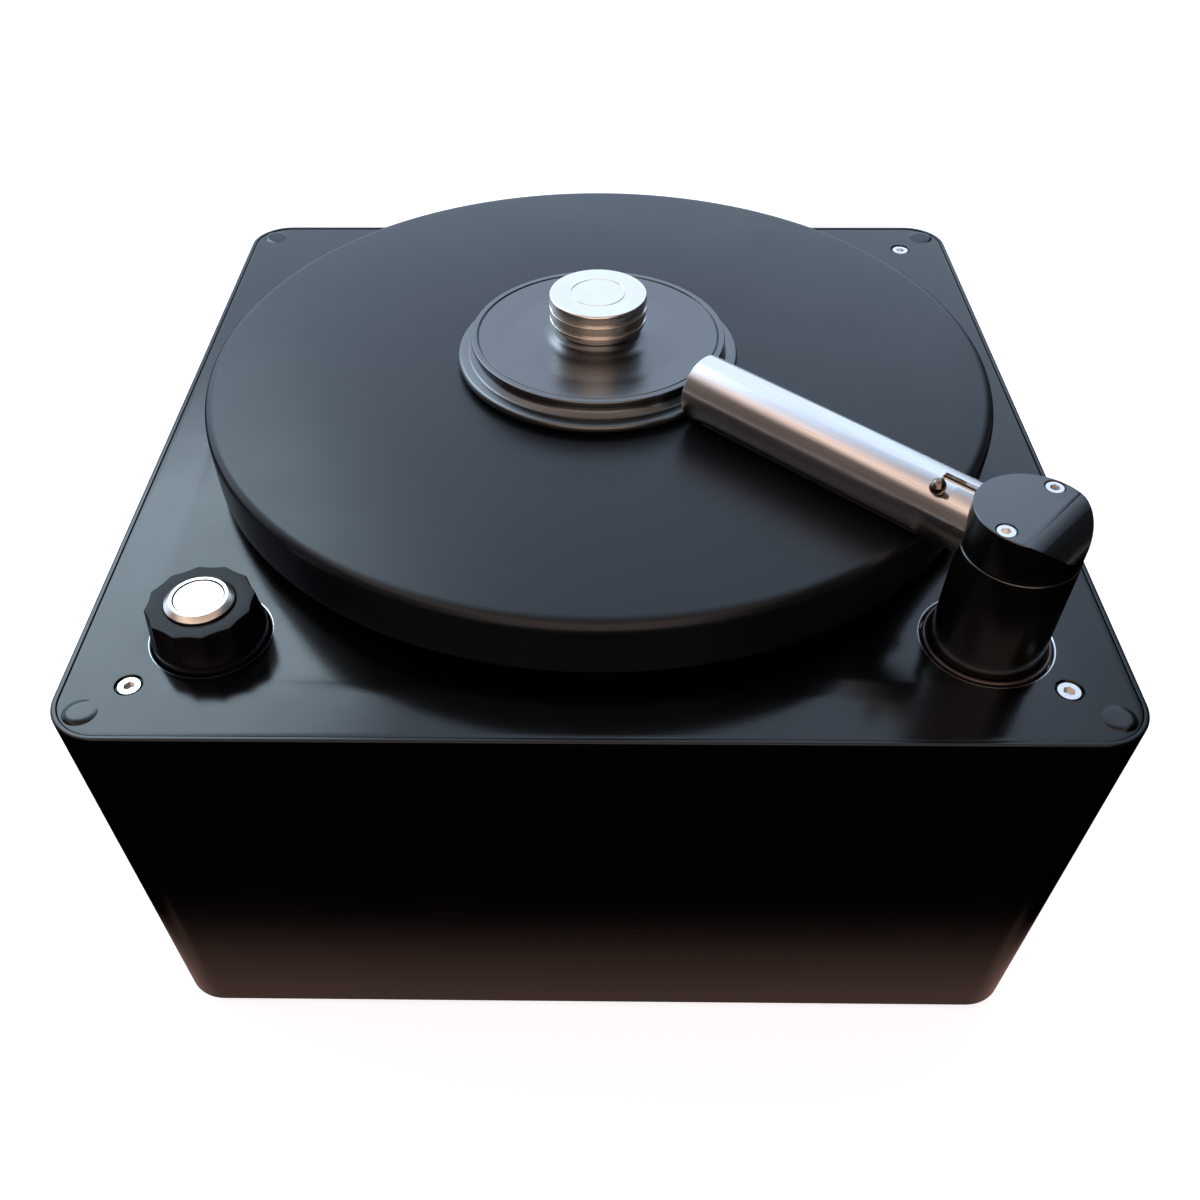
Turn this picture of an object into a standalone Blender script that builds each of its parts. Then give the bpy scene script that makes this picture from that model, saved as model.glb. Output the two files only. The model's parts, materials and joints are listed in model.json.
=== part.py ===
"""Record cleaning machine: a square black case with a turning platter, a record clamp and a suction arm.

Every piece that comes off on a bench is its own object. Lengths are in metres, +Z is up, and the machine
stands on z = 0. The spindle is the z axis, and the front faces -Y with the suction arm's post at its right.
"""

import math

import bmesh
import bpy
from mathutils import Matrix, Vector
from mathutils.geometry import interpolate_bezier

# Gap between pieces that touch
GAP = 0.0003

# Sides of the round pieces, from the widest to the smallest
LARGE = 48
WIDE = 28
ROUND = 22
MEDIUM = 16
SMALL = 12
FINE = 8
TINY = 6

# Case
CASE_SIDE = 0.345
CASE_HEIGHT = 0.1677
CASE_CORNER = 0.0175
CASE_WALL = 0.0032
RIM_SOFTENING = 0.0007
PLATE_GROOVE = 0.0008
PLATE_THICKNESS = 0.003
LEDGE_WIDTH = 0.006
LEDGE_THICKNESS = 0.002
FOOT_HEIGHT = 0.0052
FOOT_RADIUS = 0.011
FOOT_SPREAD = 0.130
FOOT_SIDES = 10
SCREW_X = 0.150
SCREW_Y = 0.149
SCREW_SINK = 0.0004
PILLAR_RADIUS = 0.0055
SCREW_BORE = 0.0023
STUD_BORE = 0.0019

HALF = CASE_SIDE / 2
CASE_BOTTOM = 0.005
RIM = CASE_BOTTOM + CASE_HEIGHT
PLATE_TOP = RIM - GAP
PLATE_UNDER = PLATE_TOP - PLATE_THICKNESS
FLANGE_TOP = PLATE_UNDER - GAP
FLOOR_UNDER = FOOT_HEIGHT + GAP
FLOOR_TOP = FLOOR_UNDER + PLATE_THICKNESS

# Platter, its hub and its spindle
PLATTER_RADIUS = 0.150
PLATTER_THICKNESS = 0.021
PLATTER_LIFT = 0.0069
PLATTER_EDGE = 0.004
HUB_RADIUS = 0.040
HUB_THICKNESS = 0.005
SPINDLE_RADIUS = 0.006
TIP_RADIUS = 0.0036

PLATTER_UNDER = RIM + PLATTER_LIFT
PLATTER_TOP = PLATTER_UNDER + PLATTER_THICKNESS
HUB_UNDER = PLATTER_UNDER + GAP
BEARING_TOP = PLATE_TOP + 0.0033
HOUSING_HOLE = 0.0165
BEARING_UNDER = 0.1365
COUPLING_UNDER = 0.1228
COUPLING_TOP = 0.1345
GEARBOX_TOP = 0.1218

# Record clamp
CLAMP_RADIUS = 0.0536
CLAMP_KNOB_RADIUS = 0.0182
CLAMP_KNOB_UNDER = PLATTER_TOP + 0.0135
CLAMP_KNOB_TOP = PLATTER_TOP + 0.0266

# Control knob at the front left
KNOB_X = -0.1287
KNOB_Y = -0.1256
KNOB_HOLE = 0.0197
KNOB_TOP = RIM + 0.0145
KNOB_FLUTES = 12
BUTTON_RADIUS = 0.0082
BEZEL_RADIUS = 0.0114

# Suction arm at the front right
POST_X = 0.1288
POST_Y = -0.1263
POST_HOLE = 0.0214
POST_RADIUS = 0.0183
POST_BORE = 0.0095
POST_UNDER = 0.078
HEAD_JOINT = RIM + 0.0388
HEAD_TOP = RIM + 0.0530
HEAD_RADIUS = 0.0180
HEAD_ROUND_START = 0.0045
ARM_AZIMUTH = math.radians(136.75)
TUBE_HEIGHT = RIM + 0.0402
TUBE_RADIUS = 0.01125
TUBE_WALL = 0.0012
TUBE_START = 0.0135
TUBE_END = 0.1262
SPIGOT_RADIUS = 0.0097
PIN_ALONG = 0.0278
PIN_ANGLE = math.radians(35)
SLOT_EXIT_ANGLE = math.radians(8)
SLOT_HALF = 0.0018
CAP_SCREW_SPREAD = 0.0143
CAP_SCREW_FORWARD = 0.0013
LIFT_TRAVEL = 0.012
SLEEVE_UNDER = 0.1060
KEY_UNDER = 0.122
KEY_TOP = 0.142
KEY_WIDTH = 0.004

# Waste tank at the right, with its round corner on the post's axis
TANK_CORNER = 0.025
TANK_LEFT = 0.042
TANK_REAR = 0.045
TANK_UNDER = FLOOR_TOP + GAP
TANK_RIM = 0.0820
TANK_WALL = 0.0025
LID_UNDER = TANK_RIM + 0.0016
LID_TOP = LID_UNDER + 0.004
OUTLET_X = 0.075
OUTLET_Y = 0.031
HOSE_BORE = 0.0090
HOSE_SEAT = 0.0112
SEAL_HEIGHT = 0.0960
PORT_Z = TANK_UNDER + 0.014

# Vacuum turbine at the rear left
TURBINE_X = -0.085
TURBINE_Y = 0.080
FAN_RADIUS = 0.058
FAN_UNDER = 0.0603
FAN_TOP = 0.1003
DUCT_X = -0.092
DUCT_Z = 0.082

# Rear tray: its pieces are drawn with z along the way out of the case
TRAY_X = 0.010
TRAY_Z = 0.048
TRAY_MOUTH = HALF - CASE_WALL - GAP
TRAY_DEPTH = 0.020
TRAY_WALL = 0.0015
TRAY_HALF_X = 0.0735
TRAY_HALF_Z = 0.0335
WINDOW_INSET = 0.008
INLET_X = -0.035
SWITCH_X = 0.0
ROCKER_TILT = math.radians(-9)
SPOUT_X = 0.040
SPOUT_Z = -0.010
DRAIN_END = TRAY_MOUTH - TRAY_DEPTH - 0.002

# Power supply at the left
SUPPLY_X = -0.100
SUPPLY_Y = -0.075

# Colour, roughness and metallic value of each finish
POWDER_COAT = ((0.012, 0.011, 0.011), 0.42, 0.0)
BLACK_PLASTIC = ((0.014, 0.014, 0.015), 0.45, 0.0)
MATTE_PLATTER = ((0.020, 0.021, 0.023), 0.60, 0.0)
BLACK_ANODISED = ((0.015, 0.014, 0.014), 0.38, 0.0)
RUBBER = ((0.020, 0.020, 0.020), 0.85, 0.0)
STAINLESS = ((0.62, 0.60, 0.57), 0.28, 1.0)
ZINC = ((0.55, 0.56, 0.58), 0.40, 1.0)
ALUMINIUM = ((0.70, 0.70, 0.71), 0.35, 1.0)
BRONZE = ((0.30, 0.20, 0.13), 0.40, 1.0)
WHITE_PLASTIC = ((0.70, 0.70, 0.67), 0.45, 0.0)
BLACK_PILE = ((0.025, 0.024, 0.024), 0.95, 0.0)
IRON = ((0.22, 0.22, 0.23), 0.50, 1.0)


def clear_scene():
    for old in list(bpy.data.objects):
        bpy.data.objects.remove(old)


def axis(name, at, turn=(0, 0, 0), parent=None):
    """An empty on a joint's axis, which carries the pieces that move about it."""
    empty = bpy.data.objects.new(name, None)
    empty.location = at
    empty.rotation_euler = turn
    empty.parent = parent
    bpy.context.scene.collection.objects.link(empty)
    return empty


def put(name, mesh, finish, at=(0, 0, 0), turn=(0, 0, 0), parent=None):
    """A named object from a bmesh, with its own material, smooth on its round faces."""
    colour, roughness, metallic = finish
    material = bpy.data.materials.new(name)
    material.use_nodes = True
    shader = material.node_tree.nodes["Principled BSDF"]
    shader.inputs["Base Color"].default_value = (*colour, 1)
    shader.inputs["Roughness"].default_value = roughness
    shader.inputs["Metallic"].default_value = metallic
    data = bpy.data.meshes.new(name)
    mesh.to_mesh(data)
    mesh.free()
    data.shade_smooth()
    data.set_sharp_from_angle(angle=math.radians(35))
    data.materials.append(material)
    piece = bpy.data.objects.new(name, data)
    piece.location = at
    piece.rotation_euler = turn
    piece.parent = parent
    bpy.context.scene.collection.objects.link(piece)
    return piece


def put_each(name, mesh, finish, places, parent=None):
    """Copies of one piece that share a mesh, each at its own named place."""
    first = None
    for suffix, at in places:
        if first is None:
            first = put(f"{name}_{suffix}", mesh, finish, at=at, parent=parent)
            continue
        copy = bpy.data.objects.new(f"{name}_{suffix}", first.data)
        copy.location = at
        copy.parent = parent
        bpy.context.scene.collection.objects.link(copy)


def carve(piece, mesh, operation="DIFFERENCE"):
    """Cuts a piece with a wire-drawn tool that lies in the piece's own frame, or joins the tool to it."""
    data = bpy.data.meshes.new(piece.name + "_tool")
    mesh.to_mesh(data)
    mesh.free()
    tool = bpy.data.objects.new(piece.name + "_tool", data)
    tool.parent = piece
    tool.hide_render = True
    tool.display_type = "WIRE"
    bpy.context.scene.collection.objects.link(tool)
    boolean = piece.modifiers.new(operation.lower(), "BOOLEAN")
    boolean.operation = operation
    boolean.object = tool
    return piece


def join(piece, mesh):
    return carve(piece, mesh, "UNION")


def moved(mesh, at=(0, 0, 0), turn=0.0, about="Z"):
    """The mesh turned about one of its own axes and then shifted."""
    place = Matrix.Translation(at) @ Matrix.Rotation(turn, 4, about)
    bmesh.ops.transform(mesh, matrix=place, verts=mesh.verts)
    return mesh


def along_x(mesh, at=(0, 0, 0)):
    """A shape drawn up the z axis, laid along x."""
    return moved(mesh, at, math.radians(90), "Y")


def group(meshes):
    """Several closed shapes in one mesh."""
    whole = bmesh.new()
    for mesh in meshes:
        copy = bpy.data.meshes.new("copy")
        mesh.to_mesh(copy)
        mesh.free()
        whole.from_mesh(copy)
        bpy.data.meshes.remove(copy)
    return whole


def ring_of(count, radius, start=0.0):
    """Evenly spaced places on a circle."""
    angles = [start + 2 * math.pi * i / count for i in range(count)]
    return [(radius * math.cos(a), radius * math.sin(a)) for a in angles]


def four(x, y=None):
    """The four mirrored places of a corner: front left, front right, rear right, rear left."""
    y = x if y is None else y
    return [(-x, -y), (x, -y), (x, y), (-x, y)]


def corners(x, y, height=0.0):
    """The four mirrored places with their names."""
    names = ("front_left", "front_right", "rear_right", "rear_left")
    return [(name, (*place, height)) for name, place in zip(names, four(x, y))]


def turned(profile, segments, closed=False):
    """Spins a profile of (radius, height) points round z. A closed profile makes a ring."""
    mesh = bmesh.new()
    points = [mesh.verts.new((r, 0, z)) for r, z in profile]
    ends = points[1:] + points[:1] if closed else points[1:]
    lines = [mesh.edges.new(pair) for pair in zip(points, ends)]
    bmesh.ops.spin(mesh, geom=points + lines, cent=(0, 0, 0), axis=(0, 0, 1), angle=2 * math.pi,
                   steps=segments, use_merge=True)
    bmesh.ops.remove_doubles(mesh, verts=mesh.verts, dist=1e-6)
    bmesh.ops.recalc_face_normals(mesh, faces=mesh.faces)
    return mesh


def rod(radius, bottom, top, segments=SMALL, top_radius=None):
    """A plain cylinder or cone up the z axis."""
    mesh = bmesh.new()
    bmesh.ops.create_cone(mesh, cap_ends=True, segments=segments, radius1=radius,
                          radius2=radius if top_radius is None else top_radius, depth=top - bottom)
    return moved(mesh, (0, 0, (bottom + top) / 2))


def block(size, at=(0, 0, 0)):
    """A box with its middle at a place."""
    mesh = bmesh.new()
    bmesh.ops.create_cube(mesh, size=1)
    bmesh.ops.scale(mesh, vec=size, verts=mesh.verts)
    return moved(mesh, at)


def rounded_outline(half_x, half_y, corner, segments):
    """The points of a rectangle with round corners."""
    outline = []
    for quarter, (side_x, side_y) in enumerate([(1, 1), (-1, 1), (-1, -1), (1, -1)]):
        for step in range(segments + 1):
            angle = math.radians(90) * (quarter + step / segments)
            outline.append((side_x * (half_x - corner) + corner * math.cos(angle),
                            side_y * (half_y - corner) + corner * math.sin(angle)))
    return outline


def swept(profile, half_x, half_y, corner, segments=6, closed=False):
    """Carries (inset, height) points round a rounded rectangle. An open profile is capped at both ends."""
    mesh = bmesh.new()
    rings = []
    for inset, height in profile:
        outline = rounded_outline(half_x - inset, half_y - inset, max(corner - inset, 0.0004), segments)
        rings.append([mesh.verts.new((x, y, height)) for x, y in outline])
    pairs = list(zip(rings, rings[1:]))
    if closed:
        pairs.append((rings[-1], rings[0]))
    else:
        mesh.faces.new(rings[0])
        mesh.faces.new(rings[-1])
    for low, high in pairs:
        for i in range(len(low)):
            mesh.faces.new((low[i - 1], low[i], high[i], high[i - 1]))
    bmesh.ops.recalc_face_normals(mesh, faces=mesh.faces)
    return mesh


def prism(outline, bottom, top):
    """Extrudes a flat outline up the z axis."""
    mesh = bmesh.new()
    face = mesh.faces.new([mesh.verts.new((x, y, bottom)) for x, y in outline])
    grown = bmesh.ops.extrude_face_region(mesh, geom=[face])["geom"]
    bmesh.ops.translate(mesh, vec=(0, 0, top - bottom),
                        verts=[v for v in grown if isinstance(v, bmesh.types.BMVert)])
    bmesh.ops.recalc_face_normals(mesh, faces=mesh.faces)
    return mesh


def sector(inner, outer, start, end, bottom, top, steps=5):
    """A piece of a ring between two angles, measured from +Z towards +Y, standing along x."""
    angles = [start + (end - start) * i / steps for i in range(steps + 1)]
    outline = [(-outer * math.cos(a), outer * math.sin(a)) for a in angles]
    outline += [(-inner * math.cos(a), inner * math.sin(a)) for a in reversed(angles)]
    return along_x(prism(outline, bottom, top))


def countersunk_screw(head, shank, depth, length, socket):
    """A screw with its head's flat face at z = 0, and a plain socket."""
    return turned([(0, -depth * 0.7), (socket, -depth * 0.7), (socket, 0), (head, 0), (shank, -depth),
                   (shank, -length), (0, -length)], FINE)


def case_shell():
    """The wrap of the case: one wall with an inner ledge for each plate, a rear window and vents."""
    plate_ledge = PLATE_UNDER - GAP
    floor_ledge = FLOOR_TOP + GAP
    inside = CASE_WALL
    ledge = CASE_WALL + LEDGE_WIDTH
    profile = [
        (0, CASE_BOTTOM + RIM_SOFTENING), (0, RIM - RIM_SOFTENING),
        (RIM_SOFTENING * 0.3, RIM - RIM_SOFTENING * 0.3),
        (RIM_SOFTENING, RIM), (inside, RIM), (inside, plate_ledge), (ledge, plate_ledge),
        (ledge, plate_ledge - LEDGE_THICKNESS), (inside, plate_ledge - LEDGE_THICKNESS),
        (inside, floor_ledge + LEDGE_THICKNESS), (ledge, floor_ledge + LEDGE_THICKNESS), (ledge, floor_ledge),
        (inside, floor_ledge), (inside, CASE_BOTTOM), (RIM_SOFTENING, CASE_BOTTOM),
    ]
    shell = put("case_shell", swept(profile, HALF, HALF, CASE_CORNER, 4, closed=True), POWDER_COAT)
    window = swept([(0, -0.01), (0, 0.01)], TRAY_HALF_X - WINDOW_INSET, TRAY_HALF_Z - WINDOW_INSET, 0.004, 3)
    carve(shell, moved(window, (TRAY_X, HALF, TRAY_Z), math.radians(-90), "X"))
    slots = [block((0.004, 0.02, 0.024), (DUCT_X + (i - 2.5) * 0.008, HALF, DUCT_Z)) for i in range(6)]
    carve(shell, group(slots))


def top_plate():
    half = HALF - CASE_WALL - PLATE_GROOVE
    edge = 0.0003
    profile = [(0, PLATE_UNDER), (0, PLATE_TOP - edge), (edge, PLATE_TOP)]
    corner = CASE_CORNER - CASE_WALL - PLATE_GROOVE
    plate = put("top_plate", swept(profile, half, half, corner, 4), POWDER_COAT)
    below = PLATE_UNDER - 0.001
    above = PLATE_TOP + 0.001
    ringed = [(KNOB_HOLE, (KNOB_X, KNOB_Y, 0)), (POST_HOLE, (POST_X, POST_Y, 0))]
    holes = [moved(rod(radius, below, above, ROUND), at) for radius, at in ringed]
    carve(plate, group([rod(HOUSING_HOLE, below, above, MEDIUM)] + holes))
    chamfer = 0.0006
    over = 0.0004
    cones = [moved(rod(radius, PLATE_TOP - chamfer, PLATE_TOP + over, ROUND, radius + chamfer + over), at)
             for radius, at in ringed]
    carve(plate, group(cones))
    face = PLATE_TOP - SCREW_SINK
    mouth = 0.0045
    sink = [(0, below), (SCREW_BORE, below), (SCREW_BORE, face - 0.0022), (mouth, face), (mouth, above), (0, above)]
    carve(plate, group([moved(turned(sink, FINE), (x, y, 0)) for x, y in four(SCREW_X, SCREW_Y)[:3]]))


def bottom_plate():
    half = HALF - CASE_WALL - PLATE_GROOVE
    plate = put("bottom_plate", swept([(0, FLOOR_UNDER), (0, FLOOR_TOP)], half, half, 0.0135, 4), ZINC)
    below = FLOOR_UNDER - 0.001
    above = FLOOR_TOP + 0.001
    holes = [moved(rod(SCREW_BORE, below, above, FINE), (x, y, 0)) for x, y in four(SCREW_X, SCREW_Y)]
    middle = (below + above) / 2
    vent = (0.040, 0.004, above - below)
    vents = [block(vent, (TURBINE_X, TURBINE_Y + (i - 2) * 0.012, middle)) for i in range(5)]
    carve(plate, group(holes + vents))


def case_fasteners():
    """Pillars that tie the two plates together, with the top plate's screws and the feet."""
    low = FLOOR_TOP + GAP
    bore = SCREW_BORE
    outer = PILLAR_RADIUS
    depth = 0.013
    pillar = [(0, low + depth), (bore, low + depth), (bore, low), (outer, low), (outer, FLANGE_TOP),
              (bore, FLANGE_TOP), (bore, FLANGE_TOP - depth), (0, FLANGE_TOP - depth)]
    put_each("corner_pillar", turned(pillar, TINY), ZINC, corners(SCREW_X, SCREW_Y))
    screw = countersunk_screw(0.0040, 0.0019, 0.0022, 0.012, 0.0014)
    put_each("top_plate_screw", screw, STAINLESS, corners(SCREW_X, SCREW_Y, PLATE_TOP - SCREW_SINK)[:3])
    recess = 0.0022
    foot = [(0, recess), (0.0035, recess), (0.0035, 0), (0.0093, 0), (0.0101, 0.0006),
            (FOOT_RADIUS, FOOT_HEIGHT), (0, FOOT_HEIGHT)]
    put_each("foot", turned(foot, FOOT_SIDES), RUBBER, corners(FOOT_SPREAD, FOOT_SPREAD))


def oval_flange(thickness, half_length=0.036, half_width=0.0245):
    """The flange of a cup or a guide under the top plate. It is long across the case's diagonal."""
    under = FLANGE_TOP - thickness
    return swept([(0, under), (0, FLANGE_TOP)], half_width, half_length, 0.022, 5)


def stud_hole(x, y):
    """A hole through a flange under the top plate."""
    return moved(rod(STUD_BORE, PLATE_UNDER - 0.006, PLATE_UNDER + 0.001, TINY), (x, y, 0))


def oval_stud_holes():
    """The two stud holes of an oval flange."""
    return group([stud_hole(0, y) for y in (-0.0305, 0.0305)])


def platter_parts(spin):
    edge = PLATTER_EDGE
    arc = [(PLATTER_RADIUS - edge + edge * math.sin(a), PLATTER_TOP - edge + edge * math.cos(a))
           for a in [math.radians(45 * i) for i in range(3)]]
    bore = SPINDLE_RADIUS + GAP
    chamfer = 0.0015
    pocket = PLATTER_UNDER + HUB_THICKNESS + 2 * GAP
    profile = [(bore, pocket), (bore, PLATTER_TOP)] + arc + [
        (PLATTER_RADIUS, PLATTER_UNDER + chamfer), (PLATTER_RADIUS - chamfer, PLATTER_UNDER),
        (HUB_RADIUS + GAP, PLATTER_UNDER), (HUB_RADIUS + GAP, pocket)]
    put("platter", turned(profile, LARGE, closed=True), MATTE_PLATTER, parent=spin)
    boss = HUB_UNDER - 0.0029
    hub_top = HUB_UNDER + HUB_THICKNESS
    hub = [(bore, boss), (0.014, boss), (0.016, HUB_UNDER), (HUB_RADIUS, HUB_UNDER), (HUB_RADIUS, hub_top),
           (bore, hub_top)]
    hub = put("platter_hub", turned(hub, ROUND, closed=True), ALUMINIUM, parent=spin)
    screw_holes = [moved(rod(SCREW_BORE, HUB_UNDER - 0.001, hub_top + 0.001, TINY), (x, y, 0))
                   for x, y in ring_of(3, 0.028)]
    carve(hub, group(screw_holes))
    shaft_end = COUPLING_UNDER + 0.0065
    shoulder = PLATTER_TOP - 0.0016
    tip = CLAMP_KNOB_UNDER + 0.0055
    spindle = [(0, shaft_end), (SPINDLE_RADIUS, shaft_end), (SPINDLE_RADIUS, shoulder),
               (TIP_RADIUS, shoulder), (TIP_RADIUS, tip - 0.0015), (TIP_RADIUS * 0.6, tip), (0, tip)]
    put("spindle", turned(spindle, SMALL), STAINLESS, parent=spin)
    low = GEARBOX_TOP - 0.005
    shaft = [(0, low), (0.004, low), (0.004, COUPLING_UNDER), (0.010, COUPLING_UNDER), (0.010, COUPLING_TOP),
             (bore, COUPLING_TOP), (bore, shaft_end - GAP), (0, shaft_end - GAP)]
    put("gearbox_shaft", turned(shaft, SMALL), STAINLESS, parent=spin)


def bearing():
    """Housing under the top plate with a neck through it, and a long plain bush in it."""
    bush_bore = SPINDLE_RADIUS + GAP
    seat = 0.009
    barrel = 0.0150
    flange = 0.0310
    neck = HOUSING_HOLE - 0.0005
    flange_under = FLANGE_TOP - 0.004
    profile = [(seat, BEARING_UNDER), (barrel, BEARING_UNDER), (barrel, flange_under), (flange, flange_under),
               (flange, FLANGE_TOP), (neck, FLANGE_TOP), (neck, BEARING_TOP), (seat, BEARING_TOP)]
    housing = put("bearing_housing", turned(profile, MEDIUM, closed=True), ALUMINIUM)
    carve(housing, group([stud_hole(x, y) for x, y in ring_of(3, 0.026, math.radians(90))]))
    low = BEARING_UNDER + GAP
    high = BEARING_TOP - GAP
    bush = [(bush_bore, low), (seat - GAP, low), (seat - GAP, high), (bush_bore, high)]
    put("spindle_bush", turned(bush, SMALL, closed=True), BRONZE)


def platter_motor():
    """A geared motor under a bracket that hangs from the top plate on four legs."""
    top = GEARBOX_TOP
    under = 0.050
    gearbox_under = 0.093
    profile = [(0, under), (0.0165, under), (0.018, under + 0.0015), (0.018, gearbox_under),
               (0.030, gearbox_under), (0.030, top), (0, top)]
    motor = put("gear_motor", turned(profile, MEDIUM), IRON)
    carve(motor, rod(0.0046, top - 0.0056, top + 0.001, FINE))
    low = top + GAP
    bracket = put("motor_bracket", swept([(0, low), (0, low + 0.003)], 0.040, 0.0255, 0.006, 4), ZINC)
    carve(bracket, rod(0.0115, low - 0.001, low + 0.004, SMALL))
    legs = [moved(rod(0.0045, low + 0.001, FLANGE_TOP, FINE), (x, y, 0)) for x, y in four(0.0345, 0.020)]
    join(bracket, group(legs))


def record_clamp(clamp, knob):
    """The clamp screws down on the spindle: a puck with a soft pad under it and a turned knob."""
    base = PLATTER_TOP
    round_edge = 0.0013
    lip = [(CLAMP_RADIUS - round_edge + round_edge * math.cos(a), base + 0.0029 + round_edge * math.sin(a))
           for a in [math.radians(-90 + 60 * i) for i in range(4)]]
    bore = TIP_RADIUS + GAP
    waist = [(0.0496, 0.0046), (0.0473, 0.0062), (0.0470, 0.0078), (0.0480, 0.0092), (0.0483, 0.0102)]
    groove = [(0.0463, 0.0108), (0.0457, 0.0100), (0.0450, 0.0106)]
    dish = [(0.0330, 0.0098), (0.0200, 0.0106), (0.0165, 0.0118), (0.0150, 0.0132), (bore, 0.0132)]
    upper = [(radius, base + height) for radius, height in waist + groove + dish]
    puck = turned([(bore, base + 0.0016)] + lip + upper, WIDE, closed=True)
    put("clamp_puck", puck, BLACK_ANODISED, parent=clamp)
    pad = [(0.020, base + GAP), (0.0505, base + GAP), (0.0505, base + 0.0013), (0.020, base + 0.0013)]
    put("clamp_pad", turned(pad, ROUND, closed=True), RUBBER, parent=clamp)
    r = CLAMP_KNOB_RADIUS
    top = CLAMP_KNOB_TOP
    low = CLAMP_KNOB_UNDER
    groove = 0.0009
    profile = [(0, low + 0.0065), (bore, low + 0.0065), (bore, low), (0.0152, low), (0.0176, low + 0.0018),
               (r, low + 0.0030)]
    for cut in (top - 0.0084, top - 0.0044):
        profile += [(r, cut), (r - groove, cut + 0.0004), (r, cut + 0.0010)]
    profile += [(r, top - 0.0006), (r - 0.0006, top), (0, top)]
    put("clamp_knob", turned(profile, ROUND), STAINLESS, parent=knob)


def fluted(rings, flutes, segments):
    """A closed ring of (radius, height, flute depth) loops. The flutes are shallow scoops between ridges."""
    mesh = bmesh.new()
    loops = []
    for radius, height, depth in rings:
        loop = []
        for i in range(segments):
            angle = 2 * math.pi * i / segments
            r = radius - depth * abs(math.cos(angle * flutes / 2))
            loop.append(mesh.verts.new((r * math.cos(angle), r * math.sin(angle), height)))
        loops.append(loop)
    for low, high in zip(loops, loops[1:] + loops[:1]):
        for i in range(segments):
            mesh.faces.new((low[i - 1], low[i], high[i], high[i - 1]))
    bmesh.ops.recalc_face_normals(mesh, faces=mesh.faces)
    return mesh


def controls(knob, button):
    """A fluted knob with a push button in its middle, on a rotary switch in a drip well."""
    shaft = 0.0040
    bore = 0.0098
    floor = RIM + 0.0010
    skirt = 0.0190
    skirt_under = RIM - 0.0020
    ledge = KNOB_TOP - 0.0012
    seat_radius = BEZEL_RADIUS + GAP
    rings = [(shaft + GAP, skirt_under, 0), (skirt, skirt_under, 0), (skirt, RIM + 0.0030, 0),
             (0.0186, RIM + 0.0046, 0.0006), (0.0177, KNOB_TOP, 0.0009), (seat_radius, KNOB_TOP, 0),
             (seat_radius, ledge, 0), (bore, ledge, 0), (bore, floor, 0), (shaft + GAP, floor, 0)]
    put("control_knob", fluted(rings, KNOB_FLUTES, 4 * KNOB_FLUTES), BLACK_PLASTIC, parent=knob)
    seat = ledge + GAP
    inner = BUTTON_RADIUS + GAP
    bezel_top = KNOB_TOP + 0.0021
    bezel = [(inner, floor + GAP), (bore - GAP, floor + GAP), (bore - GAP, seat), (BEZEL_RADIUS, seat),
             (BEZEL_RADIUS, KNOB_TOP + 0.0008), (0.0095, bezel_top), (inner, bezel_top)]
    put("button_bezel", turned(bezel, MEDIUM, closed=True), STAINLESS, parent=knob)
    face = KNOB_TOP + 0.0019
    plunger = [(0, face - 0.010), (BUTTON_RADIUS - 0.001, face - 0.010), (BUTTON_RADIUS, face - 0.009),
               (BUTTON_RADIUS, face - 0.0003), (BUTTON_RADIUS - 0.0003, face), (0, face)]
    put("push_button", turned(plunger, MEDIUM), STAINLESS, parent=button)
    well_floor = 0.1500
    well_wall = 0.0015
    place = (KNOB_X, KNOB_Y, 0)
    well = put("knob_well", oval_flange(0.004), BLACK_PLASTIC, at=place, turn=(0, 0, math.radians(45)))
    join(well, rod(0.0217 + well_wall, well_floor - well_wall, PLATE_UNDER - 0.002, MEDIUM))
    carve(well, rod(0.0217, well_floor, PLATE_UNDER + 0.001, MEDIUM))
    carve(well, rod(shaft + 2 * GAP, well_floor - 0.003, well_floor + 0.001, FINE))
    carve(well, oval_stud_holes())
    top = well_floor - well_wall - GAP
    bottom = top - 0.024
    seat = top - 0.010
    switch = [(0, bottom), (0.0150, bottom), (0.0160, bottom + 0.001), (0.0160, top), (shaft + GAP, top),
              (shaft + GAP, seat), (0, seat)]
    put("rotary_switch", turned(switch, SMALL), BLACK_PLASTIC, at=place)
    hollow = 0.0024
    low = seat + 0.0005
    spindle = [(hollow, low), (shaft, low), (shaft, floor - GAP), (hollow, floor - GAP)]
    put("switch_spindle", turned(spindle, FINE, closed=True), ZINC, parent=knob)


def post_support():
    """A guide tube under the top plate, and the bronze sleeve that turns in it with the post."""
    outer = 0.0244
    under = 0.110
    place = (POST_X, POST_Y, 0)
    guide = put("post_guide", oval_flange(0.004), ALUMINIUM, at=place, turn=(0, 0, math.radians(-45)))
    join(guide, rod(outer, under, FLANGE_TOP - 0.002, MEDIUM))
    carve(guide, rod(POST_HOLE, under - 0.002, FLANGE_TOP + 0.002, ROUND))
    carve(guide, oval_stud_holes())


def arm_sleeve(swing):
    """The sleeve has a lip under the guide, and a keyway in which the post lifts and has to turn with it."""
    inner = POST_RADIUS + GAP
    outer = POST_HOLE - GAP
    lip = 0.0240
    lip_top = SLEEVE_UNDER + 0.0037
    top = RIM + 0.0010
    edge = 0.0004
    profile = [(inner, SLEEVE_UNDER), (lip, SLEEVE_UNDER), (lip, lip_top), (outer, lip_top),
               (outer, top - edge), (outer - edge, top), (inner, top)]
    sleeve = put("post_sleeve", turned(profile, ROUND, closed=True), BRONZE, parent=swing)
    low = KEY_UNDER - GAP
    high = KEY_TOP + LIFT_TRAVEL + GAP
    carve(sleeve, block((0.010, KEY_WIDTH + 2 * GAP, high - low), (-0.0200, 0, (low + high) / 2)))


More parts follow.
